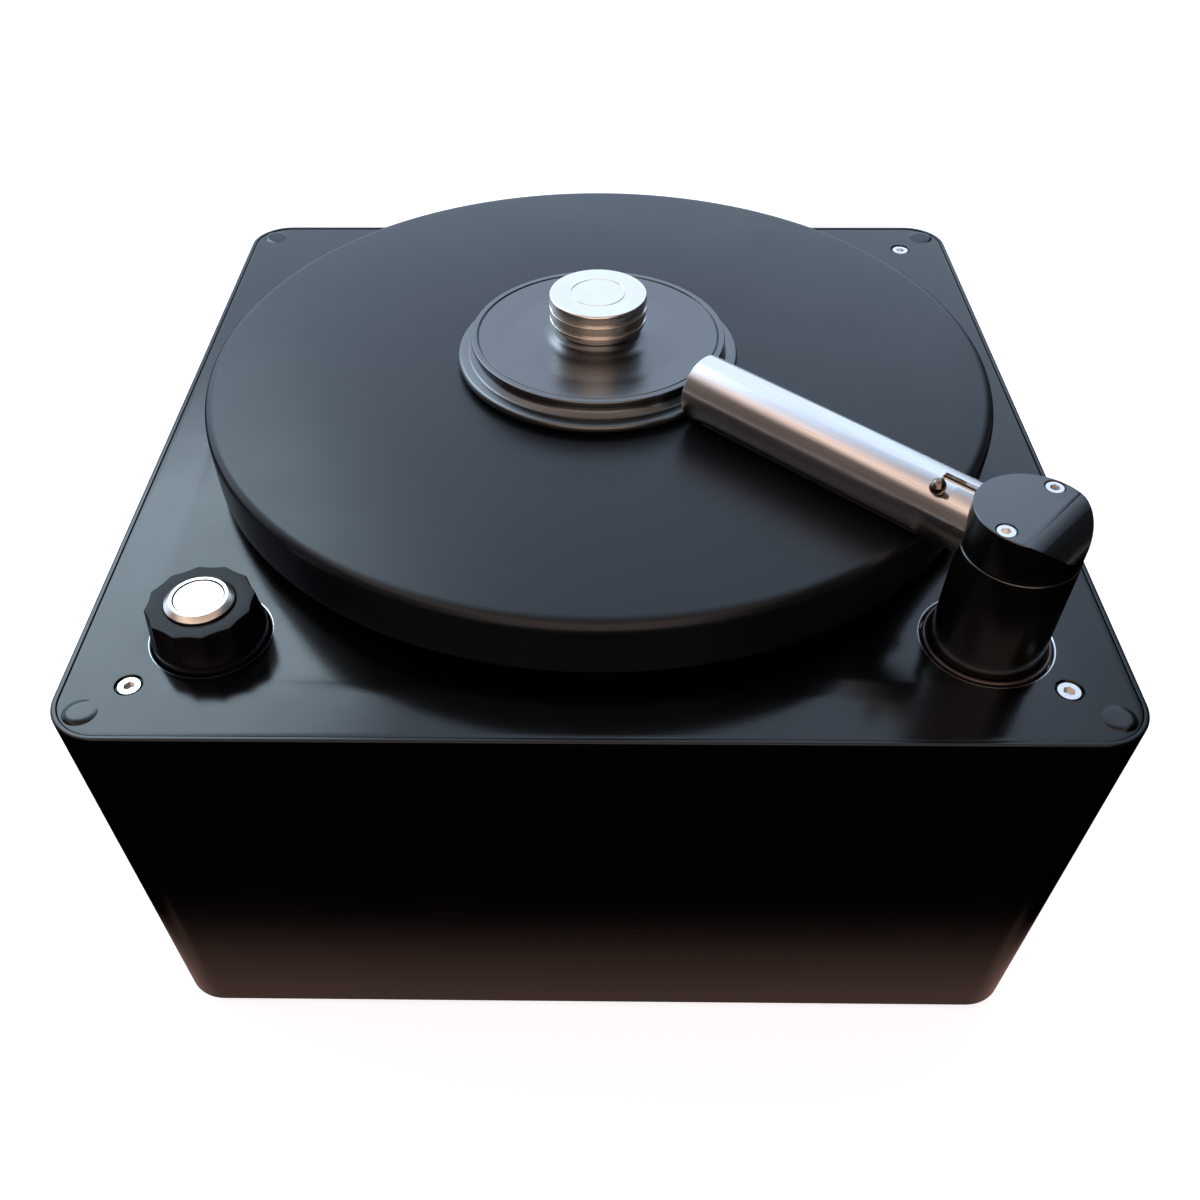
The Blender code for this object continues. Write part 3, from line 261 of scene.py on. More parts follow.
floor = flat_square("floor", FLOOR_HALF, 0.0)
floor.data.materials.append(floor_material())
card = flat_square("card", CARD_HALF, CARD_HEIGHT)
card.data.materials.append(card_material())
for ray in ("camera", "diffuse", "transmission", "shadow", "volume_scatter"):
    setattr(card, "visible_" + ray, False)
print("floor", 2 * FLOOR_HALF, "m wide")

# %% [markdown]
# ## How the materials are made
# Every finish is one Principled shader with a few helpers in front of it. `finish` makes the shader and
# says which coordinates the pattern follows: the object's own for pieces that are only cast, moulded or
# painted, and the piece's bench coordinates for those that are turned or brushed, because those marks
# follow the piece's axis. Pattern sizes are real lengths in metres, and `per` turns one into the scale of
# a texture.

# %% Helpers for materials
def per(length):
    """The texture scale at which one cell of the pattern is this long."""
    return 1.0 / length


def finish(name, colour, roughness, metallic=0.0, bench=False, **sockets):
    """A new material, its shader and the coordinates that its pattern follows."""
    material = bpy.data.materials.new(name)
    material.use_nodes = True
    tree = material.node_tree
    shader = tree.nodes["Principled BSDF"]
    shader.inputs["Base Color"].default_value = linear(colour)
    shader.inputs["Roughness"].default_value = roughness
    shader.inputs["Metallic"].default_value = metallic
    for socket, value in sockets.items():
        shader.inputs[socket.replace("_", " ")].default_value = value
    if bench:
        place = add_node(tree, "ShaderNodeAttribute", attribute_name="bench").outputs["Vector"]
    else:
        place = add_node(tree, "ShaderNodeTexCoord").outputs["Object"]
    return material, tree, shader, place


def grain(tree, place, size, detail=2.0, stretch=(1, 1, 1)):
    """Cloudy noise whose cells are about this long, or longer along a stretched axis."""
    scaled = add_node(tree, "ShaderNodeVectorMath", {0: place, 1: tuple(per(size * s) for s in stretch)},
                      operation="MULTIPLY")
    noise = add_node(tree, "ShaderNodeTexNoise", {"Vector": scaled, "Scale": 1.0, "Detail": detail})
    return noise.outputs["Fac"]


def roughen(tree, shader, pattern, low, high, start=0.3, end=0.7):
    """Varies the roughness between two values, where the pattern goes from its start to its end."""
    level = add_node(tree, "ShaderNodeMapRange", {"Value": pattern, "From Min": start, "From Max": end,
                                                  "To Min": low, "To Max": high})
    tree.links.new(level.outputs["Result"], shader.inputs["Roughness"])


def press(tree, shader, height, depth, strength=1.0):
    """Feeds a height pattern to the shader's normal as a bump of a real depth."""
    bump = add_node(tree, "ShaderNodeBump", {"Height": height, "Distance": depth, "Strength": strength})
    tree.links.new(bump.outputs["Normal"], shader.inputs["Normal"])


def tint(tree, shader, amount, dark, light):
    """Varies the base colour between two close shades."""
    mix = add_node(tree, "ShaderNodeMix", {"Factor": amount, "A": linear(dark), "B": linear(light)},
                   data_type="RGBA", clamp_factor=True)
    tree.links.new(mix.outputs["Result"], shader.inputs["Base Color"])


# %% [markdown]
# ## Black coats and plastics
# The case is folded steel with a baked powder coat. Powder melts into a tough skin with a faint orange
# peel, so it shines softly and its reflections waver a little. The platter is machined from a black
# plastic and blasted, which leaves a dry, even surface that only brightens at a low angle. The knob is
# moulded.

# %% Powder coat, platter and moulded plastics
def powder_coat():
    """Polyester powder baked on steel: a satin black skin with orange peel about a millimetre across."""
    material, tree, shader, place = finish("satin_powder_coat", "#040404", 0.17, IOR=1.5)
    peel = grain(tree, place, 0.0012, 1.0)
    cloud = grain(tree, place, 0.018, 3.0)
    roughen(tree, shader, cloud, 0.15, 0.20)
    press(tree, shader, peel, 0.000012, 0.6)
    return material


def blasted_acetal():
    """Acetal turned flat and fine-blasted: matt slate black with a dry grain under half a millimetre."""
    material, tree, shader, place = finish("blasted_black_acetal", "#070B11", 0.34, IOR=1.47)
    dust = grain(tree, place, 0.0009, 3.0)
    cloud = grain(tree, place, 0.030, 3.0)
    tint(tree, shader, cloud, "#060A0F", "#0A0E15")
    roughen(tree, shader, cloud, 0.32, 0.36)
    press(tree, shader, dust, 0.00001, 0.5)
    return material


def moulded_nylon():
    """Glass-filled nylon from a spark-eroded mould: deep black with a fine even texture."""
    material, tree, shader, place = finish("moulded_black_nylon", "#0B0909", 0.34, IOR=1.5,
                                           Specular_IOR_Level=0.17)
    pores = grain(tree, place, 0.0005, 2.0)
    roughen(tree, shader, pores, 0.30, 0.38)
    press(tree, shader, pores, 0.00001, 0.6)
    return material


def black_rubber():
    """Moulded nitrile rubber: dull black that greys a little where it is touched."""
    material, tree, shader, place = finish("moulded_black_rubber", "#0E0E0E", 0.75, IOR=1.52)
    bloom = grain(tree, place, 0.006, 4.0)
    tint(tree, shader, bloom, "#0B0B0B", "#191918")
    press(tree, shader, grain(tree, place, 0.0006, 2.0), 0.00002, 0.6)
    return material


def white_polypropylene():
    """Blow-moulded polypropylene: milky white, slightly waxy, with soft flow clouds."""
    material, tree, shader, place = finish("milky_polypropylene", "#E4E4DE", 0.42, IOR=1.49,
                                           Subsurface_Weight=0.15, Subsurface_Scale=0.002)
    flow = grain(tree, place, 0.020, 3.0)
    tint(tree, shader, flow, "#DADAD2", "#ECECE7")
    press(tree, shader, grain(tree, place, 0.002, 2.0), 0.00002, 0.4)
    return material


def black_pile():
    """Short cut microfibre: matt black that catches light along its tips."""
    material, tree, shader, place = finish("black_velvet_pile", "#0D0C0C", 0.95, Sheen_Weight=0.35,
                                           Sheen_Roughness=0.5)
    tint(tree, shader, grain(tree, place, 0.0012, 2.0), "#080808", "#171616")
    return material


# %% [markdown]
# ## Metals
# The clamp and the arm's post are black anodised aluminium: a hard clear layer full of dye, so it mirrors
# more than paint does. Turned pieces keep fine rings round their axis, which spread a highlight into a
# soft fan. The tube is stainless steel brushed along its length, and the knob and button ring are turned
# stainless.

# %% Anodised, stainless and zinc-plated finishes
def ring_marks(tree, place, pitch):
    """Fine rings round the bench z axis, uneven as a lathe tool leaves them."""
    flat = add_node(tree, "ShaderNodeVectorMath", {0: place, 1: (1, 1, 0)}, operation="MULTIPLY")
    radius = add_node(tree, "ShaderNodeVectorMath", {0: flat}, operation="LENGTH").outputs["Value"]
    height = add_node(tree, "ShaderNodeSeparateXYZ", {0: place}).outputs["Z"]
    line = add_node(tree, "ShaderNodeCombineXYZ", {"X": radius, "Y": height})
    return grain(tree, line.outputs[0], pitch, 1.0)


def anodised_turned():
    """Black anodised aluminium off a lathe: glossy dyed oxide over rings about half a millimetre apart."""
    material, tree, shader, place = finish("turned_black_anodising", "#040303", 0.30, bench=True, IOR=2.4)
    rings = ring_marks(tree, place, 0.0006)
    roughen(tree, shader, rings, 0.27, 0.34)
    press(tree, shader, rings, 0.000003, 0.4)
    return material


def anodised_satin():
    """Bead-blasted and anodised aluminium: the same dyed oxide over a silky, even surface."""
    material, tree, shader, place = finish("blasted_black_anodising", "#020202", 0.24, bench=True, IOR=2.1)
    beads = grain(tree, place, 0.0006, 2.0)
    roughen(tree, shader, beads, 0.22, 0.26)
    press(tree, shader, beads, 0.000006, 0.4)
    return material


def brushed_stainless():
    """Stainless tube rubbed with an abrasive belt: long fine scratches along x, coarse enough to show."""
    material, tree, shader, place = finish("brushed_stainless_tube", "#EFE6DF", 0.22, 1.0, bench=True)
    lines = grain(tree, place, 0.00035, 3.0, stretch=(60, 1, 1))
    broad = grain(tree, place, 0.0016, 2.0, stretch=(30, 1, 1))
    tint(tree, shader, lines, "#E0D9D6", "#FBF7F5")
    roughen(tree, shader, broad, 0.18, 0.27)
    press(tree, shader, lines, 0.000008, 0.5)
    return material


def turned_stainless():
    """Stainless bar off a lathe: rings too fine to see, which draw each highlight into a fan across them."""
    material, tree, shader, place = finish("turned_stainless", "#F8F0E6", 0.22, 1.0, bench=True,
                                           Anisotropic=0.7)
    rings = ring_marks(tree, place, 0.00045)
    tint(tree, shader, rings, "#EDE4DA", "#FFF8EF")
    roughen(tree, shader, rings, 0.18, 0.26)
    round_z = add_node(tree, "ShaderNodeTangent", direction_type="RADIAL", axis="Z")
    tree.links.new(round_z.outputs[0], shader.inputs["Tangent"])
    return material


def pressed_stainless():
    """Pressed and tumbled stainless: even and bright, for screws, pins and the button."""
    material, tree, shader, place = finish("tumbled_stainless", "#EEEAE6", 0.2, 1.0)
    pits = grain(tree, place, 0.0008, 2.0)
    roughen(tree, shader, pits, 0.16, 0.26)
    press(tree, shader, pits, 0.000006, 0.4)
    return material


def hardened_pin():
    """A hardened, polished ball-headed pin whose brownish grey is a painted reflection of the warm room."""
    # The brownish base colour is painted reflection; the two close shades below vary at random.
    material, tree, shader, place = finish("tempered_pin_steel", "#8C7B70", 0.18, 1.0)
    stain = grain(tree, place, 0.0012, 2.0)
    tint(tree, shader, stain, "#7A6A60", "#9C8B80")
    roughen(tree, shader, stain, 0.14, 0.24)
    return material


def zinc_plate():
    """Zinc-plated steel sheet: pale grey with faint cloudy grains about a centimetre across."""
    material, tree, shader, place = finish("zinc_plated_steel", "#B4B8BC", 0.4, 1.0)
    cells = add_node(tree, "ShaderNodeTexVoronoi", {"Vector": place, "Scale": per(0.009)})
    spangle = add_node(tree, "ShaderNodeRGBToBW", {0: cells.outputs["Color"]})
    tint(tree, shader, spangle, "#A4A9AE", "#C2C5C8")
    roughen(tree, shader, spangle, 0.34, 0.46, 0.0, 1.0)
    return material


def machined_aluminium():
    """Milled and turned aluminium, left bare: pale with a fine tool grain."""
    material, tree, shader, place = finish("machined_aluminium", "#CBCCCE", 0.33, 1.0)
    cut = grain(tree, place, 0.0005, 2.0, stretch=(1, 12, 1))
    roughen(tree, shader, cut, 0.27, 0.40)
    press(tree, shader, cut, 0.000008, 0.5)
    return material


def oiled_bronze():
    """Sintered bronze soaked in oil: dark brown metal with tiny pores."""
    material, tree, shader, place = finish("oiled_sintered_bronze", "#6A5B56", 0.34, 1.0)
    pores = grain(tree, place, 0.0006, 3.0)
    tint(tree, shader, pores, "#574A46", "#7C6C66")
    roughen(tree, shader, pores, 0.28, 0.45)
    press(tree, shader, pores, 0.00001, 0.5)
    return material


def highlight_edge_metal():
    """Bright metal on the rounded edge of a hole: a painted highlight where the edge catches the light."""
    # Painted highlight: a pale metal colour stands in for the light that the rounded hole edges catch.
    material, tree, shader, place = finish("bare_cut_edge", "#E4E6E8", 0.30, 1.0)
    roughen(tree, shader, grain(tree, place, 0.0008, 2.0), 0.25, 0.36)
    return material


def cast_iron_paint():
    """Motor housings: rolled steel under thin dark grey lacquer, with a mottled skin."""
    material, tree, shader, place = finish("lacquered_motor_steel", "#6A6C70", 0.45, 0.85)
    mottle = grain(tree, place, 0.004, 4.0)
    tint(tree, shader, mottle, "#55585C", "#7C7E82")
    roughen(tree, shader, mottle, 0.38, 0.52)
    return material


COAT = powder_coat()
ACETAL = blasted_acetal()
NYLON = moulded_nylon()
RUBBER = black_rubber()
MILKY = white_polypropylene()
PILE = black_pile()
ANODISED = anodised_turned()
SATIN_ANODISED = anodised_satin()
BRUSHED = brushed_stainless()
TURNED = turned_stainless()
TUMBLED = pressed_stainless()
PIN_STEEL = hardened_pin()
ZINC = zinc_plate()
EDGE_HIGHLIGHT = highlight_edge_metal()
ALUMINIUM = machined_aluminium()
BRONZE = oiled_bronze()
LACQUER = cast_iron_paint()
print("materials:", len(bpy.data.materials))

# %% [markdown]
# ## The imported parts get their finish
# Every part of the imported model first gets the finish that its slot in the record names. Parts whose
# facets would show are replaced below by smoother pieces. Those hidden in the case keep their shape and
# only change their coat.

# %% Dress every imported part
SLOT_FINISH = {
    "powder_coat": COAT, "matte_platter": ACETAL, "black_anodised": COAT, "stainless": TUMBLED,
    "zinc": ZINC, "aluminium": ALUMINIUM, "bronze": BRONZE, "rubber": RUBBER, "black_plastic": NYLON,
    "white_plastic": MILKY, "iron": LACQUER, "black_pile": PILE,
}
slot_of = {part["node"]: part["material_slot"] for part in frame["record"]["subparts"]}
for node_name, node in frame["nodes"].items():
    for own in node.material_slots:
        own.material = SLOT_FINISH[slot_of[node_name]]
print("dressed", len(slot_of), "parts")

# %% [markdown]
# ## Tools for round and square pieces
# Most of this machine was turned on a lathe, so most pieces are a profile spun round an axis. `softened`
# rounds the corners of a profile, because a real edge always has a small radius and that radius is what
# catches the light. `framed` carries a profile round a rounded rectangle instead. `settle` bakes
# modifiers into one plain mesh, `cut` takes a shape out of a piece, and `set_down` moves a finished piece
# from the bench to its place.

# %% Helpers for shapes
def softened(points, steps=5):
    """Rounds each corner of a profile whose point carries a third number, its radius."""
    flat = [Vector(p[:2]) for p in points]
    made = []
    for i, point in enumerate(points):
        radius = point[2] if len(point) > 2 else 0
        if not radius or i == 0 or i == len(points) - 1:
            made.append(flat[i])
            continue
        back = flat[i - 1] - flat[i]
        ahead = flat[i + 1] - flat[i]
        half_angle = back.angle(ahead) / 2
        reach = min(radius / math.tan(half_angle), 0.49 * back.length, 0.49 * ahead.length)
        start = flat[i] + back.normalized() * reach
        end = flat[i] + ahead.normalized() * reach
        for step in range(steps + 1):
            t = step / steps
            made.append(start * (1 - t) ** 2 + flat[i] * 2 * t * (1 - t) + end * t ** 2)
    return made


def lathe(points, sides=128, closed=False):
    """Spins a profile of (radius, height) points round z. A closed profile makes a ring with a bore."""
    mesh = bmesh.new()
    loops = []
    for radius, height in softened(points):
        count = 1 if radius < 1e-6 else sides
        loops.append([mesh.verts.new((radius * math.cos(a), radius * math.sin(a), height))
                      for a in (2 * math.pi * i / sides for i in range(count))])
    pairs = list(zip(loops, loops[1:]))
    if closed:
        pairs.append((loops[-1], loops[0]))
    for low, high in pairs:
        for i in range(sides):
            corners = [low[i % len(low)], low[(i + 1) % sides % len(low)],
                       high[(i + 1) % sides % len(high)], high[i % len(high)]]
            unique = list(dict.fromkeys(corners))
            if len(unique) > 2:
                mesh.faces.new(unique)
    bmesh.ops.recalc_face_normals(mesh, faces=mesh.faces)
    return mesh


def rounded_outline(half_x, half_y, corner, steps):
    """The points of a rectangle with round corners."""
    outline = []
    for quarter, (side_x, side_y) in enumerate([(1, 1), (-1, 1), (-1, -1), (1, -1)]):
        for step in range(steps + 1):
            angle = math.radians(90) * (quarter + step / steps)
            outline.append((side_x * (half_x - corner) + corner * math.cos(angle),
                            side_y * (half_y - corner) + corner * math.sin(angle)))
    return outline


def framed(points, half_x, half_y, corner, steps=14, closed=False):
    """Carries a profile of (inset, height) points round a rounded rectangle."""
    mesh = bmesh.new()
    rings = []
    for inset, height in softened(points):
        outline = rounded_outline(half_x - inset, half_y - inset, max(corner - inset, 0.0003), steps)
        rings.append([mesh.verts.new((x, y, height)) for x, y in outline])
    pairs = list(zip(rings, rings[1:]))
    if closed:
        pairs.append((rings[-1], rings[0]))
    else:
        mesh.faces.new(rings[0])
        mesh.faces.new(rings[-1])
    for low, high in pairs:
        for i in range(len(low)):
            mesh.faces.new((low[i - 1], low[i], high[i], high[i - 1]))
    bmesh.ops.recalc_face_normals(mesh, faces=mesh.faces)
    return mesh


def moved(mesh, at=(0, 0, 0), turn=0.0, about="Z"):
    """The mesh turned about an axis and then shifted."""
    place = Matrix.Translation(at) @ Matrix.Rotation(turn, 4, about)
    bmesh.ops.transform(mesh, matrix=place, verts=mesh.verts)
    return mesh


def together(meshes):
    """Several closed shapes in one mesh."""
    whole = bmesh.new()
    for mesh in meshes:
        copy = bpy.data.meshes.new("copy")
        mesh.to_mesh(copy)
        mesh.free()
        whole.from_mesh(copy)
        bpy.data.meshes.remove(copy)
    return whole


def drum(radius, low, high, sides=96):
    """A plain round cutter."""
    return lathe([(0, low), (radius, low), (radius, high), (0, high)], sides)


def bar(size, at=(0, 0, 0)):
    """A square cutter with its middle at a place."""
    mesh = bmesh.new()
    bmesh.ops.create_cube(mesh, size=1)
    bmesh.ops.scale(mesh, vec=size, verts=mesh.verts)
    return moved(mesh, at)


def prism(near, far):
    """A closed shape between two outlines that have as many points each."""
    mesh = bmesh.new()
    ends = [[mesh.verts.new(point) for point in outline] for outline in (near, far)]
    for end in ends:
        mesh.faces.new(end)
    for i in range(len(near)):
        mesh.faces.new((ends[0][i - 1], ends[0][i], ends[1][i], ends[1][i - 1]))
    bmesh.ops.recalc_face_normals(mesh, faces=mesh.faces)
    return mesh


def piece_from(name, mesh):
    """A mesh as a named piece in the scene."""
    data = bpy.data.meshes.new(name)
    mesh.to_mesh(data)
    mesh.free()
    piece = bpy.data.objects.new(name, data)
    bpy.context.scene.collection.objects.link(piece)
    return piece


def settle(piece):
    """Turns a piece with its modifiers into one plain mesh."""
    seen = piece.evaluated_get(bpy.context.evaluated_depsgraph_get())
    made = bpy.data.meshes.new_from_object(seen)
    piece.modifiers.clear()
    piece.data = made
    return piece


def cut(piece, tool, operation="DIFFERENCE"):
    """Takes a shape out of a piece, or joins it on."""
    helper = piece_from("tool", tool)
    boolean = piece.modifiers.new("cut", "BOOLEAN")
    boolean.operation = operation
    boolean.solver = "EXACT"
    boolean.object = helper
    settle(piece)
    bpy.data.objects.remove(helper)
    return piece


def set_down(piece, body, material, nodes, place=Matrix(), crease=32):
    """Shades a piece, keeps its bench coordinates, puts it in its place and gives it to its body."""
    mesh = piece.data
    mesh.shade_smooth()
    mesh.set_sharp_from_angle(angle=math.radians(crease))
    flat = [0.0] * (3 * len(mesh.vertices))
    mesh.vertices.foreach_get("co", flat)
    mesh.attributes.new("bench", "FLOAT_VECTOR", "POINT").data.foreach_set("vector", flat)
    mesh.transform(place)
    mesh.materials.clear()
    mesh.materials.append(material)
    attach(piece, body)
    if nodes:
        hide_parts(*nodes)
    print(piece.name, len(mesh.polygons), "faces")
    return piece


# %% [markdown]
# ## The case
# The case is one wrap of steel sheet with round corners. Its rim is thin and slightly softened, with a
# fine groove between it and the top plate that lies in it. Behind, a window shows the connections, and
# six slots let the turbine's air out. The slots repeat, so a Geometry Nodes tree lays them out in a row
# and cuts them.

# %% Sizes of the case
CASE_UNDER = 0.005
RIM = 0.1727
CASE_CORNER = 0.0175
WALL = 0.0032
PLATE_TOP = RIM - 0.0003
PLATE_UNDER = PLATE_TOP - 0.003
FLOOR_TOP = 0.0085
LIP = 0.0018
LEDGE = 0.0074
TRAY_X, TRAY_Z = 0.010, 0.048
WINDOW_X, WINDOW_Z = 0.0655, 0.0255
DUCT_X, DUCT_Z = -0.092, 0.082


# %% Slots in a row, by Geometry Nodes
def tree_inputs(name, sockets):
    """A new Geometry Nodes tree with named inputs, and its two end nodes."""
    tree = bpy.data.node_groups.new(name, "GeometryNodeTree")
    tree.interface.new_socket("Geometry", in_out="INPUT", socket_type="NodeSocketGeometry")
    for label, kind in sockets.items():
        tree.interface.new_socket(label, in_out="INPUT", socket_type="NodeSocket" + kind)
    tree.interface.new_socket("Geometry", in_out="OUTPUT", socket_type="NodeSocketGeometry")
    return tree, tree.nodes.new("NodeGroupInput").outputs, tree.nodes.new("NodeGroupOutput")


def close_tree(tree, given, out, geometry):
    """The end of every tree: copies become one plain mesh, and the mesh gets its material."""
    solid = add_node(tree, "GeometryNodeRealizeInstances", {"Geometry": geometry})
    coated = add_node(tree, "GeometryNodeSetMaterial", {"Geometry": solid, "Material": given["Material"]})
    tree.links.new(coated.outputs[0], out.inputs[0])
    return tree


def grow(piece, tree, **values):
    """Runs a tree on a piece with these input values, then bakes it. Underscores stand for spaces."""
    modifier = piece.modifiers.new(tree.name, "NODES")
    modifier.node_group = tree
    for item in tree.interface.items_tree:
        key = item.name.replace(" ", "_")
        if item.in_out == "INPUT" and key in values:
            modifier[item.identifier] = values[key]
    return settle(piece)


def slot_row_tree():
    """Cuts a row of round-cornered slots through a wall that faces along y."""
    tree, given, out = tree_inputs("slot_row", {"Count": "Int", "Pitch": "Float", "Width": "Float",
                                                "Height": "Float", "Depth": "Float", "Corner": "Float",
                                                "Middle": "Vector", "Material": "Material"})
    shape = add_node(tree, "GeometryNodeCurvePrimitiveQuadrilateral", {"Width": given["Width"],
                                                                       "Height": given["Height"]})
    soft = add_node(tree, "GeometryNodeFilletCurve",
                    {"Curve": shape, "Radius": given["Corner"], "Count": 6}, mode="POLY")
    face = add_node(tree, "GeometryNodeFillCurve", {"Curve": soft}, mode="NGONS")
    grown = add_node(tree, "GeometryNodeExtrudeMesh", {"Mesh": face, "Offset Scale": given["Depth"]})
    flipped = add_node(tree, "GeometryNodeFlipFaces", {"Mesh": face})
    closed = add_node(tree, "GeometryNodeJoinGeometry", {"Geometry": [flipped, grown]})
    welded = add_node(tree, "GeometryNodeMergeByDistance", {"Geometry": closed, "Distance": 1e-6})
    last = add_node(tree, "ShaderNodeMath", {0: given["Count"], 1: 1.0}, operation="SUBTRACT")
    run = add_node(tree, "ShaderNodeMath", {0: last, 1: given["Pitch"]}, operation="MULTIPLY")
    half = add_node(tree, "ShaderNodeMath", {0: run, 1: -0.5}, operation="MULTIPLY")
    deep = add_node(tree, "ShaderNodeMath", {0: given["Depth"], 1: 0.5}, operation="MULTIPLY")
    begin = add_node(tree, "ShaderNodeCombineXYZ", {"X": half, "Y": deep})
    start = add_node(tree, "ShaderNodeVectorMath", {0: given["Middle"], 1: begin}, operation="ADD")
    step = add_node(tree, "ShaderNodeCombineXYZ", {"X": given["Pitch"]})
    line = add_node(tree, "GeometryNodeMeshLine", {"Count": given["Count"], "Start Location": start,
                                                   "Offset": step})
    copies = add_node(tree, "GeometryNodeInstanceOnPoints", {"Points": line, "Instance": welded,
                                                             "Rotation": (math.radians(90), 0, 0)})
    solid = add_node(tree, "GeometryNodeRealizeInstances", {"Geometry": copies})
    opened = add_node(tree, "GeometryNodeMeshBoolean", {"Mesh 1": given["Geometry"], "Mesh 2": solid},
                      operation="DIFFERENCE", solver="EXACT")
    return close_tree(tree, given, out, opened)


SLOT_ROW = slot_row_tree()
print("tree", SLOT_ROW.name, "has", len(SLOT_ROW.nodes), "nodes")


# %% The wrap of the case
def case_wrap():
    """One wall with a softened rim and foot, and an inner ledge for each plate."""
    ledge = LIP + LEDGE
    high = PLATE_UNDER - 0.0003
    low = FLOOR_TOP + 0.0003
    points = [(0.0012, CASE_UNDER), (0, CASE_UNDER, 0.0006), (0, RIM, 0.0008), (LIP, RIM, 0.0002),
              (LIP, high), (ledge, high), (ledge, high - 0.002), (WALL, high - 0.002), (WALL, low + 0.002),
              (ledge, low + 0.002), (ledge, low), (WALL, low), (WALL, CASE_UNDER)]
    wrap = piece_from("case_wrap", framed(points, CASE_HALF, CASE_HALF, CASE_CORNER, 18, closed=True))
    window = framed([(0, -0.01), (0, 0.01)], WINDOW_X, WINDOW_Z, 0.004, 8)
    cut(wrap, moved(window, (TRAY_X, CASE_HALF, TRAY_Z), math.radians(-90), "X"))
    grow(wrap, SLOT_ROW, Count=6, Pitch=0.008, Width=0.004, Height=0.024, Depth=0.02, Corner=0.0018,
         Middle=(DUCT_X, CASE_HALF, DUCT_Z), Material=COAT)
    return set_down(wrap, "case", COAT, ["case_shell"])


case_wrap()

# %% [markdown]
# ## The top plate
# The plate lies flush in the rim. It has a large hole for the post and one for the knob, each with a
# rounded edge whose bright metal is a painted highlight, a bore for the bearing's neck under the platter,
# and a countersunk hole for each screw. Three screws hold it: the photograph shows none at the rear left.

# %% Top plate
SCREW_X, SCREW_Y = 0.150, 0.149
KNOB_X, KNOB_Y = -0.1287, -0.1256
POST_X, POST_Y = 0.1288, -0.1263
KNOB_HOLE = 0.0197
POST_HOLE = 0.0214
NECK_HOLE = 0.0165
HOLE_EDGE = 0.0008
PLATE_GAP = 0.0002
PLATE_HALF = CASE_HALF - LIP - PLATE_GAP
SCREW_PLACES = [(-SCREW_X, -SCREW_Y), (SCREW_X, -SCREW_Y), (SCREW_X, SCREW_Y)]


def hole(radius, edge, sides=128):
    """A round cutter through the top plate that leaves a rounded edge at the top."""
    under, over = PLATE_UNDER - 0.001, PLATE_TOP + 0.001
    arc = [(radius + edge - edge * math.cos(a), PLATE_TOP - edge + edge * math.sin(a))
           for a in (math.radians(90) * i / 6 for i in range(7))]
    return lathe([(0, under), (radius, under), *arc, (radius + edge, over), (0, over)], sides)


def screw_sink(x, y):
    """A countersink with a clearance hole under it."""
    under, over = PLATE_UNDER - 0.001, PLATE_TOP + 0.001
    sink = lathe([(0, under), (0.0023, under), (0.0023, PLATE_TOP - 0.0026), (0.0044, PLATE_TOP - 0.0006),
                  (0.0044, PLATE_TOP - 0.0003), (0.0047, PLATE_TOP), (0.0047, over), (0, over)], 48)
    return moved(sink, (x, y, 0))


def deck_plate():
    """The top plate with its holes, whose rounded edges carry a painted highlight of bright metal."""
    points = [(0, PLATE_UNDER), (0, PLATE_TOP, 0.0002), (0.002, PLATE_TOP)]
    corner = CASE_CORNER - LIP - PLATE_GAP
    plate = piece_from("deck_plate", framed(points, PLATE_HALF, PLATE_HALF, corner, 18))
    cut(plate, together([hole(NECK_HOLE, 0.0003), moved(hole(KNOB_HOLE, HOLE_EDGE), (KNOB_X, KNOB_Y, 0)),
                         moved(hole(POST_HOLE, HOLE_EDGE), (POST_X, POST_Y, 0))]
                        + [screw_sink(x, y) for x, y in SCREW_PLACES]))
    set_down(plate, "case", COAT, ["top_plate"])
    plate.data.materials.append(EDGE_HIGHLIGHT)
    # The faces of the rounded hole edges get the painted highlight material.
    for face in plate.data.polygons:
        gaps = [math.dist(face.center.xy, spot) - radius
                for spot, radius in (((KNOB_X, KNOB_Y), KNOB_HOLE), ((POST_X, POST_Y), POST_HOLE))]
        if 0.02 < face.normal.z < 0.999 and 0 < min(gaps) < HOLE_EDGE:
            face.material_index = 1


deck_plate()

# %% [markdown]
# ## Screws, by Geometry Nodes
# The same countersunk screw with a hexagon socket sits in the top plate and, smaller, in the arm's cap.
# One tree builds the screw from a cone, a rim and a shank, cuts the socket, and puts a copy on each point
# with its own turn, because no one lines up the sockets by hand.

# %% Screws
SCREW_RIM = 0.0003
SCREW_CHAMFER = 0.00015
SOCKET_SHARE = 0.75


